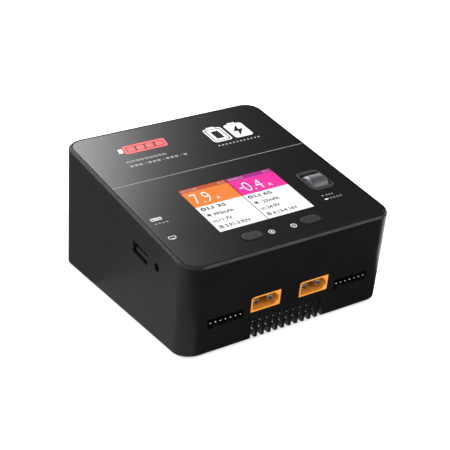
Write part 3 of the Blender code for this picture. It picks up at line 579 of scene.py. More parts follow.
rim = [(RIM_CHAMFER + 0.14, 0.0)] + round_profile((RIM_CHAMFER + 0.10, 0.0), (RIM_CHAMFER, 0.0), (RIM_CHAMFER - 0.09, -0.09), 3)
rim += round_profile((0.09, -RIM_CHAMFER + 0.09), (0.0, -RIM_CHAMFER), (0.0, -RIM_CHAMFER - 0.12), 3)
rings = [[(x, y, z) for x, y in outer_outline(inset)] for inset, z in rim]
for inset, rise in round_profile((0.0, 0.5), (0.0, 0.0), (0.5, 0.0), 4):
    rings.append([(x, y, under(y) + rise) for x, y in outer_outline(inset)])
housing = add_loft(new(), rings)
housing = combine(housing, add_prism(new(), outer_outline(WALL, 14), -90.0, -DECK_BOTTOM))

posts = new()
for x, y in ((8.2, 6.2), (79.8, 6.2), (8.2, 64.0), (79.8, 64.0)):
    add_rod(posts, (x, y, -2.5), (x, y, -UI_BOARD_TOP + 0.3), 1.4, 20)
for x, y in ((84.4, 28.6), (99.8, 28.6), (84.4, 50.0), (99.8, 50.0)):
    add_rod(posts, (x, y, -2.5), (x, y, -16.4), 1.4, 20)
housing = combine(housing, posts, "UNION")

to_console = Matrix.Rotation(-TILT, 4, "X") @ Matrix.Translation((WIDTH / 2, -FRAME_Y, -FRAME_Z))
bosses, boss_holes = new(), new()
for x, y in screw_spots:
    add_rod(bosses, (x, y, 3.5), (x, y, 9.5), 4.3, 32)
    add_rod(boss_holes, (x, y, 0.0), (x, y, 8.6), 1.4, 24)
bosses.transform(to_console)
boss_holes.transform(to_console)
housing = combine(housing, bosses, "UNION")
housing = combine(housing, boss_holes)
housing = combine(housing, add_prism(new(), outer_outline(PANEL_INSET - 0.50, 24), -DECK_TOP, 2.0))

deck_holes = new()
add_prism(deck_holes, rect(LCD_C[0] - LCD_OUTLINE[0] / 2 - 0.3, LCD_C[0] + LCD_OUTLINE[0] / 2 + 0.3,
                           LCD_C[1] - LCD_OUTLINE[1] / 2 - 0.3, LCD_C[1] + LCD_OUTLINE[1] / 2 + 0.3), -4.0, -0.5)
for c in BUTTON_C:
    add_prism(deck_holes, button_outline(c, 0.6), -4.0, -0.5)
add_prism(deck_holes, bezel_outline(0.4), -4.0, -0.5)
housing = combine(housing, deck_holes)

front_holes = new()
for x in MAIN_SOCKET_X:
    w, h = MAIN_SOCKET_SIZE[0] / 2 + 0.12, MAIN_SOCKET_SIZE[1] / 2 + 0.12
    add_prism(front_holes, chamfered(x - w, x + w, -MAIN_SOCKET_S - h, -MAIN_SOCKET_S + h, (0, 0.4, 0, 0.8)), -3.0, 5.0, "y")
for x in BALANCE_X:
    add_prism(front_holes, balance_outline(x), -3.0, 5.0, "y")
for x in slot_centres:
    low = -62.0
    add_prism(front_holes, [(x - SLOT_W / 2, low), (x + SLOT_W / 2, low)] + [
        (x + SLOT_W / 2 * math.cos(a), -SLOT_TOP - SLOT_W * 0.7 + SLOT_W * 0.7 * math.sin(a))
        for a in [math.pi * i / 16 for i in range(17)]], -3.0, 4.0, "y")
housing = combine(housing, front_holes)

# polarity signs sunk beside the outputs, read with the boards' plus and minus ends
signs = new()
for x, s, plus in ((13.1, 35.1, False), (44.5, 33.7, True), (69.7, 33.8, True), (79.0, 35.2, False)):
    a, b = 0.62, 0.11
    arms = [(a, -b), (a, b), (b, b), (b, a), (-b, a), (-b, b), (-a, b), (-a, -b), (-b, -b), (-b, -a), (b, -a), (b, -b)]
    shape = [(x + u, -s + v) for u, v in arms] if plus else rect(x - a, x + a, -s - b, -s + b)
    add_prism(signs, shape, -1.0, 0.16, "y")
housing = combine(housing, signs)

side_holes = new()
add_prism(side_holes, rounded_rect(sum(USB_Y) / 2, -sum(USB_S) / 2, USB_Y[1] - USB_Y[0], USB_S[1] - USB_S[0], 0.35, 4),
          -3.0, 4.0, "x")
add_rod(side_holes, (-3.0, JACK[0], -JACK[1]), (4.0, JACK[0], -JACK[1]), JACK_R, 40)
housing = combine(housing, side_holes)

rear_holes = new()
for i in range(-4, 5):
    dx = i * 4.0
    half = math.sqrt(18.6 ** 2 - dx ** 2)
    add_prism(rear_holes, stadium(FAN_C[0] + dx, -FAN_C[1], 2.6, 2 * half, 10), 112.0, 120.0, "y")
add_box(rear_holes, INLET_C[0] - 13.6, INLET_C[0] + 13.6, 112.0, 120.0, -INLET_C[1] - 10.1, -INLET_C[1] + 10.1)
for x, z in fan_screw_spots:
    turned(rear_holes, [(112.0, 1.7), (115.6, 1.7), (115.6, 3.0), (120.0, 3.0)], "y", x, z, 32)
housing = combine(housing, rear_holes)

soften(housing, 0.16, 2, 40.0, lambda e: (
    (on_plane(1, 0.0)(e) and all(v.co.z < -20.0 for v in e.verts)
     and not any(abs(v.co.x - p[0]) < 0.9 and abs(-v.co.z - p[1]) < 0.9 for v in e.verts
                 for p in ((13.1, 35.1), (44.5, 33.7), (69.7, 33.8), (79.0, 35.2))))
    or (on_plane(0, 0.0)(e) and all(20.0 < v.co.y < 50.0 for v in e.verts))
    or (on_plane(1, DEPTH)(e) and all(12.0 < v.co.x < 95.0 and v.co.z < -5.0 for v in e.verts))), clamp=False)
piece("main_housing_shell", housing, BODY_BLACK, nodes=["main_housing"])

# --------------------------------------------------------------- bottom cover
cover_edge = round_profile((WALL + 0.6, 0.0), (WALL + 0.3, 0.0), (WALL + 0.3, 0.3), 3)
cover = add_loft(new(), [[(x, y, under(y) + rise) for x, y in outer_outline(inset, 16)] for inset, rise in
                         cover_edge + [(WALL + 0.3, COVER_T / COS)]])
cover_posts = new()
for x, y, top in ((15.0, 12.0, 35.2), (91.0, 12.0, 35.2), (15.0, 57.0, 35.2), (91.0, 57.0, 35.2),
                  (10.0, 71.0, 51.9), (96.0, 71.0, 51.9), (10.0, 99.0, 51.9), (96.0, 99.0, 51.9)):
    add_rod(cover_posts, (x, y, under(y) + 0.8), (x, y, -top), 2.2, 24)
cover = combine(cover, cover_posts, "UNION")
cover_slots = new()
for x in slot_centres:
    add_prism(cover_slots, stadium(x, 5.5, SLOT_W, 19.0, 10), -52.0, -40.0)
for i in range(-4, 5):
    add_prism(cover_slots, stadium(53.0 + i * 7.0, 84.0, 3.0, 24.0, 10), -75.0, -52.0)
cover = combine(cover, cover_slots)
pockets = new()
for x, y in foot_spots:
    add_rod(pockets, (x, y, -1.0), (x, y, FOOT_H + 0.6), 5.3, 48)
for x, y in screw_spots:
    turned(pockets, [(-1.0, 2.7), (FOOT_H + 1.2, 2.7), (FOOT_H + 1.2, 1.4), (6.0, 1.4)], "z", x, y, 32)
pockets.transform(to_console)
cover = combine(cover, pockets)
soften(cover, 0.18, 2, 40.0, lambda e: all(abs(v.co.z - under(v.co.y)) < 1e-3 for v in e.verts)
       and all(3.4 < v.co.x < 102.6 and 20.0 < v.co.y < 113.6 for v in e.verts), clamp=False)
piece("bottom_cover_plate", cover, COVER_BLACK, nodes=["bottom_cover"], smooth=20.0)

for i, (x, y) in enumerate(foot_spots, 1):
    foot = new()
    turned(foot, [(0.16, 3.1), (0.06, 3.2), (0.0, 3.4), (0.0, 4.5)] + [(z, r) for r, z in round_profile((4.6, 0.0), (5.0, 0.0), (5.0, 0.4), 4)]
           + [(FOOT_H + 0.3, 5.0)], "z", x, y, 56)
    piece(f"foot_pad_{i}", foot, RUBBER, nodes=[f"rubber_foot_{i}"], where=TABLE)
for i, (x, y) in enumerate(screw_spots, 1):
    screw = new()
    turned(screw, [(FOOT_H + 0.1, 1.5), (FOOT_H + 0.14, 1.9), (FOOT_H + 0.26, 2.2), (FOOT_H + 0.45, 2.3), (FOOT_H + 0.9, 2.3),
                   (FOOT_H + 0.9, 1.1), (8.0, 1.1)], "z", x, y, 40)
    cross = new()
    add_box(cross, x - 1.1, x + 1.1, y - 0.22, y + 0.22, 0.0, FOOT_H + 0.75)
    screw = combine(screw, cross)
    cross = new()
    add_box(cross, x - 0.22, x + 0.22, y - 1.1, y + 1.1, 0.0, FOOT_H + 0.75)
    screw = combine(screw, cross)
    piece(f"cover_screw_head_{i}", screw, DARK_STEEL, nodes=[f"cover_screw_{i}"], where=TABLE)

# ------------------------------------------------------------ panel and screen
edge = round_profile((PANEL_INSET + 0.15, 0.0), (PANEL_INSET, 0.0), (PANEL_INSET, -0.15), 4)
panel = add_loft(new(), [[(x, y, z) for x, y in outer_outline(inset)] for inset, z in edge + [(PANEL_INSET, -PANEL_T)]])
lx, ly = LCD_C
WX0, WX1, WY0, WY1 = 27.28, 76.18, 20.08, 56.42
holes = new()
add_prism(holes, rect(WX0, WX1, WY0, WY1), -2.0, 1.0)
for c in BUTTON_C:
    add_prism(holes, button_outline(c, 0.3), -2.0, 1.0)
add_prism(holes, bezel_outline(0.3), -2.0, 1.0)
panel = combine(panel, holes)
soften(panel, 0.07, 2, 40.0, lambda e: on_plane(2, 0.0)(e) and all(5.0 < v.co.x < 100.0 and v.co.y < 60.0 for v in e.verts)
       and not all(20.0 < v.co.y < 60.0 and v.co.x < 80.0 for v in e.verts), clamp=False)
piece("top_panel_sheet", panel, PANEL_BLACK, nodes=["top_panel"])

pane = new()
add_box(pane, WX0 + 0.02, WX1 - 0.02, WY0 + 0.02, WY1 - 0.02, -0.10, 0.0)
soften(pane, 0.02, 1)
pane.normal_update()
piece("display_window_pane", pane, GLASS, nodes=["display_window"], second=MASK_BLACK,
      second_where=lambda face: abs(face.normal.z) < 0.5)

ow, oh = LCD_OUTLINE
cell = new()
add_box(cell, lx - ow / 2, lx + ow / 2, ly - oh / 2, ly + oh / 2, -2.6, -LCD_FACE)
soften(cell, 0.12, 2)
add_box(cell, WX0 + 0.06, WX1 - 0.06, WY0 + 0.06, WY1 - 0.06, -1.55, -0.13)
piece("lcd_cell_glass", cell, LCD_EDGE, nodes=["lcd_cell"])

# the picture is laid out on the cell's face, then brought up under the pane along the line of sight
Z = -LCD_FACE
SCREEN = CONSOLE @ Matrix.Translation((-1.215, -1.766, 1.38))


def field(name, x0, x1, y0, y1, mat, layer=0):
    bm = new()
    add_plate(bm, [rect(x0, x1, y0, y1)], Z - 0.01, Z + 0.012 + 0.012 * layer)
    piece(name, bm, mat, where=SCREEN, flat=True)


SX0, SX1, SY0, SY1 = 28.6, 77.45, 22.0, 58.3
HEAD, STRIP, MID = 42.8, 55.3, 53.0
field("screen_left_white", SX0, MID - 0.16, SY0, HEAD, SHOW_WHITE)
field("screen_right_white", MID + 0.16, SX1, SY0, HEAD, SHOW_WHITE)
field("screen_left_head", SX0, MID - 0.16, HEAD, STRIP, SHOW_ORANGE)
field("screen_right_head", MID + 0.16, SX1, HEAD, STRIP, SHOW_MAGENTA)
field("screen_divider", MID - 0.2, MID + 0.2, SY0, SY1, MASK_BLACK, 1)
field("screen_left_strip", SX0, MID - 0.16, STRIP, SY1, SHOW_ORANGE_DARK)
field("screen_right_strip", MID + 0.16, SX1, STRIP, SY1, SHOW_MAGENTA_DARK)

Z0, Z1 = Z - 0.01, Z + 0.03
readout = new()
add_text(readout, "7.9", 30.9, 39.8, 45.0, 53.2, Z0, Z1, -0.14)
add_text(readout, "A", 41.6, 43.6, 45.2, 47.6, Z0, Z1)
add_text(readout, "0.4", 57.4, 66.9, 45.0, 52.6, Z0, Z1, -0.14)
add_plate(readout, [rect(55.2, 57.0, 48.3, 49.1)], Z0, Z1)
add_text(readout, "A", 69.0, 71.0, 45.2, 47.6, Z0, Z1)
clocks = new()
add_text(clocks, "00:12:40", 29.6, 37.4, 55.9, 57.6, Z0, Z1)
add_text(clocks, "42 C", 48.2, 51.9, 55.9, 57.6, Z0, Z1)
add_text(clocks, "00:08:15", 54.0, 61.8, 55.9, 57.6, Z0, Z1)
add_text(clocks, "39 C", 72.6, 76.2, 55.9, 57.6, Z0, Z1)
piece("screen_clocks", clocks, SHOW_PALE, where=SCREEN, flat=True)
piece("screen_readouts", readout, SHOW_WHITE, where=SCREEN, flat=True)

first_row, other_rows = new(), new()
for column, (ix0, tx0, rows) in enumerate((
        (30.1, 33.0, (("LI 3S", 42.6), ("993mAh", 43.3), ("11.7V", 39.7), ("3.91-3.92V", 46.0))),
        (54.5, 57.4, (("LI 6S", 66.9), ("-23mAh", 67.2), ("24.9V", 64.6), ("4.13-4.16V", 70.4))))):
    for (words, tx1), y, target, weight in zip(rows, (39.2, 33.9, 28.9, 24.0), (first_row, other_rows, other_rows, other_rows),
                                               (0.28, 0.26, 0.26, 0.26)):
        add_text(target, words, tx0 + 0.2, tx1, y, y + 2.3, Z0, Z1, weight)
    # a clock, a plug, a cell outline and a stack of cells
    cx = ix0 + 1.15
    add_plate(first_row, [circle(cx, 40.4, 1.3, 28), circle(cx, 40.4, 0.62, 28)], Z0, Z1)
    add_plate(first_row, [stroke(cx, 40.3, cx, 41.4, 0.3)], Z0, Z1)
    add_plate(other_rows, [rounded_rect(cx - 0.1, 35.3, 1.7, 1.4, 0.3, 4)], Z0, Z1)
    add_plate(other_rows, [rect(cx - 0.65, cx - 0.35, 36.0, 36.6)], Z0, Z1)
    add_plate(other_rows, [rect(cx + 0.15, cx + 0.45, 36.0, 36.6)], Z0, Z1)
    add_plate(other_rows, [stroke(cx - 0.1, 34.6, cx + 0.6, 34.0, 0.35)], Z0, Z1)
    add_plate(other_rows, [rounded_rect(cx, 30.0, 2.5, 1.7, 0.3, 4), rounded_rect(cx, 30.0, 2.0, 1.2, 0.15, 4)], Z0, Z1)
    add_plate(other_rows, [rect(cx - 0.6, cx + 0.6, 29.8, 30.2)], Z0, Z1)
    for k in range(3):
        add_plate(other_rows, [rect(cx - 1.1, cx + 1.1, 24.15 + k * 0.85, 24.70 + k * 0.85)], Z0, Z1)
piece("screen_first_row", first_row, SHOW_DARK, where=SCREEN, flat=True)
piece("screen_other_rows", other_rows, SHOW_GREY, where=SCREEN, flat=True)

# ------------------------------------------------------- printed on the panel
P0, P1 = -0.02, 0.012
white, pale, grey, red = new(), new(), new(), new()
add_plate(pale, [rect(1.95, WIDTH - 1.95, 69.80, 70.02)], P0, P1)

# a red battery with a white cap, leaning forward, and a row of small cells under it
lean = 0.16


def leaning(points, y0=94.6):
    return [(x + (y - y0) * lean, y) for x, y in points]


add_plate(white, [leaning(rounded_rect(20.1, 98.3, 2.2, 3.8, 0.5, 4))], P0, P1)
add_plate(red, [leaning(rounded_rect(33.0, 98.3, 22.4, 7.2, 1.3, 8)), leaning(rounded_rect(33.0, 98.3, 20.0, 4.9, 0.6, 8))], P0, P1)
for k in range(4):
    add_plate(red, [leaning(rounded_rect(25.5 + k * 5.0, 98.3, 3.9, 3.6, 0.4, 4))], P0, P1)
for k in range(9):
    x = 18.6 + k * 2.36
    add_plate(pale, [rounded_rect(x + 0.8, 88.0, 1.7, 1.35, 0.2, 3), rounded_rect(x + 0.8, 88.0, 1.2, 0.85, 0.1, 3)], P0, P1)
for k in range(13):
    x = 18.4 + k * 2.34
    if k % 4 == 3:
        add_plate(pale, [stroke(x + 0.4, 84.0, x + 1.3, 84.0, 0.28)], P0, P1)
    else:
        add_plate(pale, [rect(x, x + 1.5, 83.35, 84.65), rect(x + 0.35, x + 1.15, 83.7, 84.3)], P0, P1)

# two cells side by side, the first in outline and the second filled, over a row of dots
add_plate(white, [rounded_rect(71.0, 94.0, 10.2, 13.2, 1.6, 8), rounded_rect(71.0, 94.0, 8.6, 11.6, 0.9, 8)], P0, P1)
add_plate(white, [rounded_rect(71.0, 94.0, 7.4, 10.4, 0.6, 8), rounded_rect(71.0, 94.0, 4.2, 7.2, 0.4, 8)], P0, P1)
add_plate(white, [rounded_rect(71.0, 101.3, 4.4, 1.0, 0.3, 4)], P0, P1)
add_plate(white, [rounded_rect(82.9, 94.0, 10.2, 13.2, 1.6, 8),
                  [(84.4, 99.3), (79.9, 93.3), (82.3, 93.3), (81.2, 88.7), (86.0, 94.9), (83.5, 94.9)]], P0, P1)
add_plate(white, [rounded_rect(82.9, 101.3, 4.4, 1.0, 0.3, 4)], P0, P1)
for k in range(12):
    add_plate(pale, [circle(66.2 + k * 2.02, 84.2, 0.5, 14)], P0, P1)

# a socket sign and a screen sign by the side ports
add_plate(white, [rounded_rect(7.5, 40.3, 5.2, 2.0, 0.3, 4), rounded_rect(7.5, 40.3, 4.5, 1.3, 0.15, 4)], P0, P1)
add_plate(white, [rect(5.9, 9.1, 40.1, 40.5)], P0, P1)
for k in range(4):
    add_plate(grey, [rect(5.0 + k * 1.8, 6.2 + k * 1.8, 36.5, 37.1)], P0, P1)
add_plate(white, [rounded_rect(6.9, 25.2, 3.4, 1.9, 0.3, 4), rounded_rect(6.9, 25.2, 2.9, 1.4, 0.15, 4)], P0, P1)
add_plate(white, [rect(6.1, 7.7, 23.75, 24.0)], P0, P1)

for cx, digit, half in ((47.4, "1", 0.32), (58.75, "2", 0.55)):
    add_plate(white, [circle(cx, 10.95, 1.45, 40), circle(cx, 10.95, 1.15, 40)], P0, P1)
    add_text(white, digit, cx - half * 0.8, cx + half * 0.8, 10.3, 11.6, P0, P1, 0.1)

# press and hold signs under the wheel
add_plate(pale, [circle(84.7, 25.7, 0.42, 20)], P0, P1)
add_plate(white, [rounded_rect(84.8, 22.7, 1.9, 0.75, 0.3, 5)], P0, P1)
for k in range(3):
    add_plate(grey, [[(86.5 + k * 1.5, 25.1), (87.5 + k * 1.5, 25.7), (86.5 + k * 1.5, 26.3)]], P0, P1)
for k in range(4):
    add_plate(grey, [rounded_rect(87.2 + k * 1.75, 22.7, 1.0, 1.2, 0.2, 3), rounded_rect(87.2 + k * 1.75, 22.7, 0.6, 0.8, 0.1, 3)], P0, P1)
piece("panel_print_white", white, WHITE_INK, flat=True)
piece("panel_print_pale", pale, PALE_INK, flat=True)
piece("panel_print_grey", grey, GREY_INK, flat=True)
piece("panel_print_red", red, RED_INK, flat=True)

# --------------------------------------------------------------------- buttons
for i, c in enumerate(BUTTON_C, 1):
    w, h = BUTTON_SIZE

    def ring(dw, z):
        return [(x, y, z) for x, y in stadium(c[0], c[1], w - dw, h - dw, 24)]

    key = add_loft(new(), [ring(3.2, BUTTON_PROUD - 0.03), ring(2.0, BUTTON_PROUD)]
                   + [ring(dw, z) for dw, z in round_profile((0.8, BUTTON_PROUD), (0.3, BUTTON_PROUD), (0.3, BUTTON_PROUD - 0.25), 5)]
                   + [ring(0.3, -1.4), ring(0.0, -1.6), ring(0.0, -3.3), ring(-2.2, -3.3), ring(-2.2, -4.1)])
    key = combine(key, add_rod(new(), (c[0], c[1], -6.6), (c[0], c[1], -3.6), 1.5, 24), "UNION")
    body = "button_one" if i == 1 else "button_two"
    piece(f"key_{i}", key, KEY_GREY, body=body, nodes=[f"button_{i}"], smooth=50.0)

# ----------------------------------------------------------------- jog wheel
bezel = add_loft(new(), [[(x, y, z) for x, y in bezel_outline(grow)] for grow, z in (
    [(-1.2, 0.2)] + [(-2 * g, z) for g, z in round_profile((0.35, 0.2), (0.0, 0.2), (0.0, -0.1), 4)] + [(0.0, -2.9)])])
mouth = add_loft(new(), [[(x, y, z) for x, y in rounded_rect(89.85, 38.90, 10.1 + 2 * g, 12.0 + 2 * g, 0.8 + g, 10)]
                         for g, z in ((0.9, 0.6), (0.42, 0.22), (0.30, 0.1), (0.10, -0.3), (0.0, -0.6), (0.0, -1.25))])
bezel = combine(bezel, mouth)
bezel = combine(bezel, add_prism(new(), rect(84.55, 95.15, 31.7, 45.5), -5.0, -1.2))
piece("wheel_surround", bezel, BEZEL_GREY, nodes=["wheel_bezel"], smooth=40.0)

x0, x1 = WHEEL_X
drum = new()
left = [(x0, 1.05), (x0, 4.2), (x0 + 0.15, 4.35), (x0 + 0.15, 4.9), (x0, 5.05), (x0 + 0.02, 5.22)]
left += [(x, r) for x, r in round_profile((x0 + 0.05, 5.32), (x0 + 0.45, 5.85), (x0 + 0.9, 6.02), 5)]
left += [(x0 + 1.4, WHEEL_R)]
grooves = []
for k in range(10):
    gx = x0 + 1.9 + k * 0.62
    grooves += [(gx, WHEEL_R), (gx + 0.04, WHEEL_R - 0.025), (gx + 0.10, WHEEL_R - 0.025), (gx + 0.14, WHEEL_R)]
right = [(x1 - 0.9, WHEEL_R)] + [(x, r) for x, r in round_profile((x1 - 0.75, WHEEL_R - 0.02), (x1 - 0.05, WHEEL_R - 0.02), (x1, 5.7), 5)]
right += [(x1, 5.0), (x1 - 0.15, 4.85), (x1 - 0.15, 4.3), (x1, 4.15), (x1, 1.05)]
turned(drum, left + grooves + right, "x", WHEEL_Y, -WHEEL_AXIS, 128, closed_loop=True)
piece("jog_wheel_drum", drum, WHEEL_METAL, body="wheel", nodes=["jog_wheel"], smooth=40.0)

# ------------------------------------------------------ battery output sockets
for i, cx in enumerate(MAIN_SOCKET_X, 1):
    w, h = MAIN_SOCKET_SIZE[0] / 2, MAIN_SOCKET_SIZE[1] / 2
    z = -MAIN_SOCKET_S
    shell = add_prism(new(), chamfered(cx - w, cx + w, z - h, z + h, (0, 0.4, 0, 0.8)), 0.2, 18.0, "y")
    shell = combine(shell, add_prism(new(), [
        (cx - w + 0.8, z - h + 0.8), (cx - 0.75, z - h + 0.8), (cx - 0.75, z - h + 1.15), (cx + 0.05, z - h + 1.15),
        (cx + 0.05, z - h + 0.8), (cx + w - 3.1, z - h + 0.8), (cx + w - 0.9, z - 1.0), (cx + w - 0.9, z + 1.0),
        (cx + w - 3.1, z + h - 0.8), (cx - w + 0.8, z + h - 0.8)], -3.0, 10.5, "y"))
    pin_holes = new()
    for side in (-1, 1):
        px = cx - 0.4 + side * MAIN_PIN_PITCH / 2
        add_rod(pin_holes, (px, 9.0, z), (px, 22.0, z), MAIN_PIN_R + 0.2, 32)
    shell = combine(shell, pin_holes)
    soften(shell, 0.12, 2, 35.0, lambda e: on_plane(1, 0.2)(e), clamp=False)
    shell.normal_update()
    # faces behind the front face get the darker amber copy: painted shade in the recess
    piece(f"output_socket_{i}", shell, AMBER, nodes=[f"battery_socket_{i}"], second=AMBER_PAINTED_SHADE,
          second_where=lambda face: face.calc_center_median().y > 0.5)
    for k, side in enumerate((-1, 1)):
        px = cx - 0.4 + side * MAIN_PIN_PITCH / 2
        tip = [(y, r) for r, y in round_profile((0.45, 1.0), (1.5, 1.0), (MAIN_PIN_R, 2.6), 9)]
        pin = turned(new(), [(1.0, 0.2)] + tip + [(19.5, MAIN_PIN_R)], "y", px, z, 40)
        slit = new()
        add_box(slit, px - 2.5, px + 2.5, 0.0, 7.5, z - 0.16, z + 0.16)
        pin = combine(pin, slit)
        slit = new()
        add_box(slit, px - 0.16, px + 0.16, 0.0, 7.5, z - 2.5, z + 2.5)
        pin = combine(pin, slit)
        piece(f"output_pin_{i}_{k + 1}", pin, PIN_METAL, nodes=[f"battery_{i}_{('positive', 'negative')[k]}_pin"],
              smooth=40.0)

# ------------------------------------------------------------ balance sockets
for i, cx in enumerate(BALANCE_X, 1):
    shell = new()
    add_box(shell, cx - 10.3, cx + 10.3, 2.5, 12.0, -33.0, -26.5)
    shell = combine(shell, add_box(new(), cx - 9.1, cx + 9.1, 0.0, 10.0, -BALANCE_FLOOR, -BALANCE_TOP))
    spots = [cx + (k - (BALANCE_PINS - 1) / 2) * BALANCE_PITCH for k in range(BALANCE_PINS)]
    holes = new()
    for px in spots:
        add_box(holes, px - 0.5, px + 0.5, 9.0, 14.0, -BALANCE_PIN_S - 0.5, -BALANCE_PIN_S + 0.5)
    shell = combine(shell, holes)
    soften(shell, 0.12, 2)
    piece(f"balance_header_{i}", shell, SOCKET_BLACK, nodes=[f"balance_socket_{i}"])
    pins = new()
    add_box(pins, spots[0] - 1.0, spots[-1] + 1.0, 13.2, 14.4, -BALANCE_PIN_S - 0.32, -BALANCE_PIN_S + 0.32)
    for px in spots:
        add_loft(pins, [[(px + a * u, y, -BALANCE_PIN_S + a * v) for u, v in ((-1, -1), (1, -1), (1, 1), (-1, 1))]
                        for y, a in ((0.5, 0.06), (0.53, 0.14), (0.60, 0.22), (0.72, 0.28), (0.90, 0.32), (13.3, 0.32))])
    # the tip faces get the near-white copy of the pin metal: painted highlight on the pin ends
    piece(f"balance_pin_row_{i}", pins, STEEL, nodes=[f"balance_pins_{i}"], smooth=50.0, second=PIN_TIP_PAINTED_GLINT,
          second_where=lambda face: face.calc_center_median().y < 0.64)

# ----------------------------------------------------------- side connectors
usb_c = (sum(USB_Y) / 2, -sum(USB_S) / 2)
usb_w, usb_h = USB_Y[1] - USB_Y[0], USB_S[1] - USB_S[0]
shell = add_prism(new(), rounded_rect(*usb_c, usb_w + 1.0, usb_h + 1.0, 0.7, 6), 2.5, 16.5, "x")
shell = combine(shell, add_prism(new(), rounded_rect(*usb_c, usb_w, usb_h, 0.4, 6), 0.0, 15.9, "x"))
windows = new()
for y in (USB_Y[0] + 3.0, USB_Y[1] - 3.0):
    for z in (-USB_S[0] + 0.2, -USB_S[1] - 0.2):
        add_box(windows, 5.0, 9.0, y - 1.1, y + 1.1, z - 0.8, z + 0.8)
shell = combine(shell, windows)
soften(shell, 0.08, 2)
springs = new()
for y in (USB_Y[0] + 3.0, USB_Y[1] - 3.0):
    for z, inward in ((-USB_S[0] + 0.3, -1), (-USB_S[1] - 0.3, 1)):
        add_loft(springs, [[(x, y + u, z + v * 0.12 + drop * inward) for u, v in ((-0.8, -1), (0.8, -1), (0.8, 1), (-0.8, 1))]
                           for x, drop in ((9.2, 0.0), (7.6, 0.25), (6.4, 0.55), (5.6, 0.6), (5.1, 0.4))])
piece("usb_port_shell", add_mesh(shell, springs), STEEL, nodes=["usb_shell"])
tongue = add_box(new(), 1.2, 15.6, USB_Y[0] + 0.9, USB_Y[1] - 0.9, -16.8, -15.0)
soften(tongue, 0.22, 3)
piece("usb_port_tongue", tongue, DARK_PLASTIC, nodes=["usb_tongue"])
contacts = new()
for y in (-3.5, -1.0, 1.0, 3.5):
    add_box(contacts, 2.2, 14.0, usb_c[0] + y - 0.5, usb_c[0] + y + 0.5, -16.92, -16.7)
soften(contacts, 0.05, 2)
piece("usb_port_contacts", contacts, GOLD)

jack = add_box(new(), 2.5, 14.5, 21.4, 28.8, -16.3, -10.7)
jack = combine(jack, add_rod(new(), (0.0, JACK[0], -JACK[1]), (13.0, JACK[0], -JACK[1]), JACK_R, 40))
soften(jack, 0.15, 2)
piece("side_jack", jack, SOCKET_BLACK, nodes=["link_jack"])
liner = new()
turned(liner, [(2.7, 1.62), (2.9, 1.86), (6.0, 1.86), (6.0, 1.62)], "x", JACK[0], -JACK[1], 40, closed_loop=True)
piece("side_jack_liner", liner, STEEL)

# ------------------------------------------------------------------------ fan
fx, fz = FAN_C[0], -FAN_C[1]
fan = add_prism(new(), rounded_rect(fx, fz, FAN_SIDE, FAN_SIDE, 1.6, 8), FAN_Y[0], FAN_Y[1], "y")
cuts = add_rod(new(), (fx, 100.0, fz), (fx, 120.0, fz), 19.0, 96)
for sx in (-1, 1):
    for sz in (-1, 1):
        add_rod(cuts, (fx + sx * FAN_HOLE, 100.0, fz + sz * FAN_HOLE), (fx + sx * FAN_HOLE, 120.0, fz + sz * FAN_HOLE), 1.75, 24)
fan = combine(fan, cuts)
spider = turned(new(), [(108.5, 1.0), (112.8, 1.0), (112.8, 9.2), (114.1, 9.2), (114.3, 9.0)], "y", fx, fz, 48)
for k in range(3):
    arm = add_box(new(), 8.0, 19.8, -0.9, 0.9, -0.75, 0.75)
    bmesh.ops.rotate(arm, verts=arm.verts, matrix=Matrix.Rotation(math.radians(90), 3, "X"))
    bmesh.ops.rotate(arm, verts=arm.verts, matrix=Matrix.Rotation(-math.radians(90 + 120 * k), 3, "Y"))
    bmesh.ops.translate(arm, verts=arm.verts, vec=(fx, 113.5, fz))
    spider = combine(spider, arm, "UNION")
fan = combine(fan, spider, "UNION")
soften(fan, 0.25, 2, 40.0, lambda e: on_plane(1, FAN_Y[1])(e) or on_plane(1, FAN_Y[0])(e), clamp=True)
piece("fan_housing", fan, FAN_BLACK, nodes=["fan_frame"])

rotor = turned(new(), [(105.4, 8.0), (105.45, 8.4), (105.65, 8.75), (106.0, 9.0), (112.3, 9.0)], "y", fx, fz, 64)
for k in range(7):
    blade = new()
    sections = []
    for j in range(7):
        t = j / 6
        r = 8.2 + 9.0 * t
        p = math.radians(52.0 - 19.0 * t)
        half = 3.4 + 1.0 * t
        along = Vector((0.0, math.sin(p), math.cos(p)))
        across = Vector((0.0, math.cos(p), -math.sin(p)))
        camber = 0.35
        profile = []
        for u in (-1.0, -0.6, -0.2, 0.2, 0.6, 1.0):
            profile.append((u, 0.4 * math.sqrt(max(1 - u * u * 0.75, 0.0)) + camber * (1 - u * u) * 0.3))
        for u in (1.0, 0.6, 0.2, -0.2, -0.6, -1.0):
            profile.append((u, -0.4 * math.sqrt(max(1 - u * u * 0.75, 0.0)) + camber * (1 - u * u) * 0.3))
        sections.append([tuple(Vector((r, 0.0, r * 0.08)) + along * half * u + across * v) for u, v in profile])
    add_loft(blade, sections)
    bmesh.ops.rotate(blade, verts=blade.verts, matrix=Matrix.Rotation(2 * math.pi * k / 7, 3, "Y"))
    bmesh.ops.translate(blade, verts=blade.verts, vec=(fx, 109.0, fz))
    rotor = combine(rotor, blade, "UNION")
rotor = combine(rotor, add_rod(new(), (fx, 108.0, fz), (fx, 114.0, fz), 1.3, 24))
piece("fan_impeller", rotor, FAN_BLACK, body="fan", nodes=["fan_rotor"], smooth=45.0)

for i, (x, z) in enumerate(fan_screw_spots, 1):
    screw = turned(new(), [(105.5, 1.4), (115.9, 1.4), (115.9, 2.6), (116.5, 2.6), (116.75, 2.45), (116.93, 2.1), (117.0, 1.5)],
                   "y", x, z, 40)
    for a, b in ((1.2, 0.25), (0.25, 1.2)):
        screw = combine(screw, add_box(new(), x - a, x + a, 116.2, 118.0, z - b, z + b))
    piece(f"fan_screw_head_{i}", screw, DARK_STEEL, nodes=[f"fan_screw_{i}"])

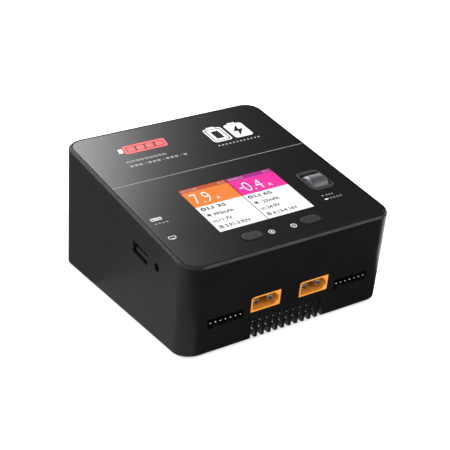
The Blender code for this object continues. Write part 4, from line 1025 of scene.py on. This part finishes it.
# ----------------------------------------------------------------- mains inlet
ix, iz = INLET_C[0], -INLET_C[1]
inlet = add_box(new(), ix - 13.3, ix + 13.3, 95.0, 118.0, iz - 9.8, iz + 9.8)
flange = add_loft(new(), [[(x, y, z) for x, z in rounded_rect(ix, iz, 31.0 - 2 * g, 24.0 - 2 * g, 2.0 - g, 10)] for g, y in
                          [(0.0, 117.3)] + round_profile((0.0, 118.6), (0.0, 119.0), (0.4, 119.0), 4)])
inlet = combine(inlet, flange, "UNION")
inlet = combine(inlet, add_prism(new(), chamfered(ix - 12.1, ix + 12.1, iz - 8.2, iz + 8.2, (0, 0, 4.0, 4.0)), 103.0, 122.0, "y"))
holes = new()
blades = (("line", -7.0, -2.0), ("neutral", 7.0, -2.0), ("earth", 0.0, 2.0))
for label, dx, dz in blades:
    add_box(holes, ix + dx - 1.3, ix + dx + 1.3, 90.0, 104.0, iz + dz - 2.3, iz + dz + 2.3)
inlet = combine(inlet, holes)
soften(inlet, 0.3, 3, 40.0, lambda e: on_plane(1, 119.0)(e) and all(abs(v.co.x - ix) < 12.3 and abs(v.co.z - iz) < 8.4 for v in e.verts),
       clamp=False)
piece("inlet_body", inlet, SOCKET_BLACK, nodes=["mains_inlet"])
for label, dx, dz in blades:
    x, z = ix + dx, iz + dz
    blade = add_loft(new(), [[(x + u * a, y, z + v * b) for u, v in ((-1, -1), (1, -1), (1, 1), (-1, 1))]
                             for y, a, b in ((91.0, 1.0, 2.0), (114.6, 1.0, 2.0), (115.25, 0.8, 1.75), (115.6, 0.5, 1.4))])
    soften(blade, 0.12, 2, 60.0)
    piece(f"inlet_blade_{label}", blade, PIN_METAL, nodes=[f"inlet_{label}_blade"])

# --------------------------------------------------- inner pieces kept from CAD
INNER = {
    "wheel_axle": STEEL, "wheel_cradle": WHITE_PLASTIC, "wheel_encoder": DARK_PLASTIC, "wheel_switch": STEEL,
    "wheel_board": PCB, "tact_switch_1": STEEL, "tact_switch_2": STEEL, "lcd_backlight": WHITE_PLASTIC,
    "lcd_holder": DARK_PLASTIC, "ui_board": PCB, "buzzer": DARK_PLASTIC, "ribbon_cable": CABLE_GREY, "main_board": PCB,
    "power_board": PCB, "heatsink": ALUMINIUM, "transformer_core": FERRITE, "transformer_coil": TAPE,
    "bulk_capacitor": SLEEVE, "mains_choke": COPPER, "output_inductor_1": FERRITE, "output_inductor_2": FERRITE,
    "fan_cable": DARK_PLASTIC,
}
for name, mat in INNER.items():
    node = NODES[name]
    node.data.materials.clear()
    node.data.materials.append(mat)

# ------------------------------------------------------------- floor and world
floor_mesh = new()
bmesh.ops.create_grid(floor_mesh, x_segments=12, y_segments=12, size=3.0)
mesh = bpy.data.meshes.new("studio_floor")
floor_mesh.to_mesh(mesh)
floor_mesh.free()
floor = bpy.data.objects.new("studio_floor", mesh)
SCENE.collection.objects.link(floor)
mat, tree, shader, coord = begin("pale_paper")
tree.links.new(blend_colours(tree, noise(tree, coord, 3.0), (0.80, 0.80, 0.80), (0.84, 0.84, 0.84)), shader.inputs["Base Color"])
shader.inputs["Roughness"].default_value = 0.9
shader.inputs["Emission Color"].default_value = (1.0, 1.0, 1.0, 1.0)
shader.inputs["Emission Strength"].default_value = 0.55
mesh.materials.append(mat)
floor.location.z = -0.0001
floor.visible_glossy = False
floor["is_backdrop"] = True

world = bpy.data.worlds.new("studio")
SCENE.world = world
world.use_nodes = True
world.node_tree.nodes["Background"].inputs["Color"].default_value = (1.0, 1.0, 1.0, 1.0)
world.node_tree.nodes["Background"].inputs["Strength"].default_value = 1.02
world.cycles_visibility.glossy = False
SCENE.view_settings.view_transform = "Standard"
SCENE.cycles.use_denoising = True

CENTRE = Vector((0.0, 0.0, 0.03))


def soft_box(name, azimuth, elevation, distance, width, height, radiance, target=CENTRE):
    """Area light seen from the object at that azimuth (0 is +Y, 90 is +X) and elevation."""
    a, e = math.radians(azimuth), math.radians(elevation)
    away = Vector((math.sin(a) * math.cos(e), math.cos(a) * math.cos(e), math.sin(e)))
    light = bpy.data.lights.new(name, "AREA")
    light.shape = "RECTANGLE"
    light.size, light.size_y = width, height
    light.energy = radiance * math.pi * width * height
    obj = bpy.data.objects.new(name, light)
    obj.location = target + away * distance
    obj.rotation_mode = "QUATERNION"
    obj.rotation_quaternion = away.to_track_quat("Z", "Y")
    obj.visible_camera = False
    SCENE.collection.objects.link(obj)
    return obj


def floor_box(name, x0, x1, y0, y1, radiance, height=0.0006):
    """Upward area light lying just over the floor, for the walls to reflect."""
    light = bpy.data.lights.new(name, "AREA")
    light.shape = "RECTANGLE"
    light.size, light.size_y = x1 - x0, y1 - y0
    light.energy = radiance * math.pi * (x1 - x0) * (y1 - y0)
    obj = bpy.data.objects.new(name, light)
    obj.location = ((x0 + x1) / 2, (y0 + y1) / 2, height)
    obj.rotation_euler = (math.pi, 0.0, 0.0)
    obj.visible_camera = False
    SCENE.collection.objects.link(obj)
    return obj


REAR = (5.0, 40.0, 1.5)


def rear_strip(name, x0, x1, radiance, y0=-0.475, y1=0.475):
    """Upright part of the rear soft box, between two offsets to its right and two heights."""
    strip = soft_box(name, *REAR, x1 - x0, y1 - y0, radiance)
    strip.location += strip.rotation_quaternion @ Vector((-(x0 + x1) / 2, (y0 + y1) / 2, 0.0))


# the rear box fades out to its right in narrow steps
FADE = ((0.425, 4.15), (0.45, 3.75), (0.475, 3.1), (0.50, 2.5), (0.525, 2.0), (0.55, 1.5), (0.575, 1.08), (0.60, 0.78),
        (0.625, 0.60), (0.65, 0.45), (0.68, 0.33), (0.72, 0.19), (0.77, 0.10), (0.81, 0.06), (0.87, 0.03), (0.93, 0.01))
rear_strip("rear_box", -0.525, FADE[0][0], 4.5)
for k in range(16):
    start = FADE[0][0] + k * 0.031
    middle = start + 0.0155
    for (a0, r0), (a1, r1) in zip(FADE, FADE[1:]):
        if a0 <= middle <= a1:
            level = (r0 + (r1 - r0) * (middle - a0) / (a1 - a0)) * (1.06 if k < 3 else 0.98)
            rear_strip(f"rear_fade_{k + 1}", start, start + 0.031, level, y1=0.13)
            rear_strip(f"rear_fade_high_{k + 1}", start, start + 0.031, level * 0.66, y0=0.13)
            break
soft_box("top_box", 20.0, 80.0, 1.5, 1.5, 1.5, 0.10)
soft_box("left_rim_box", -49.0, 32.0, 1.3, 0.40, 0.34, 5.1)
soft_box("left_rear_box", -25.0, 25.0, 1.3, 0.26, 0.24, 4.6)
soft_box("front_rim_box", 141.0, 34.0, 1.3, 0.60, 0.40, 4.9)
soft_box("left_high_box", -100.0, 38.0, 1.3, 0.5, 0.4, 3.0)
soft_box("left_box", -62.0, 6.0, 1.3, 1.3, 0.7, 0.30)
soft_box("right_rear_box", 80.0, 12.0, 1.3, 0.8, 0.8, 2.0)
soft_box("front_fill", 215.0, 45.0, 1.5, 0.6, 0.5, 1.5)
floor_box("left_floor_wide", -0.50, -0.047, -0.075, 0.50, 0.20)
floor_box("left_floor_near", -0.36, -0.047, -0.078, 0.03, 0.19)
floor_box("right_floor", 0.078, 0.50, -0.060, 0.50, 2.6)
floor_box("right_floor_front", 0.112, 0.32, -0.10, -0.064, 1.4)
floor_box("slot_floor", -0.036, 0.034, -0.0545, -0.025, 0.65)

# ---------------------------------------------------------------------- camera
target = CONSOLE @ Vector((54.033, 55.951, -25.0))
az, el, roll, distance = math.radians(-31.637), math.radians(24.66), math.radians(-0.84), 0.54445
back = Vector((math.sin(az) * math.cos(el), -math.cos(az) * math.cos(el), math.sin(el)))
side = Vector((0, 0, 1)).cross(back).normalized()
up = back.cross(side)
cam_x = math.cos(roll) * side + math.sin(roll) * up
cam_y = -math.sin(roll) * side + math.cos(roll) * up
camera_data = bpy.data.cameras.new("photo_camera")
camera_data.sensor_width = 36.0
camera_data.lens = 93.59
camera_data.clip_start, camera_data.clip_end = 0.01, 20.0
camera = bpy.data.objects.new("photo_camera", camera_data)
spot = target + back * distance
camera.matrix_world = Matrix((
    (cam_x.x, cam_y.x, back.x, spot.x), (cam_x.y, cam_y.y, back.y, spot.y), (cam_x.z, cam_y.z, back.z, spot.z), (0, 0, 0, 1)))
SCENE.collection.objects.link(camera)
SCENE.camera = camera

low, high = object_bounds()
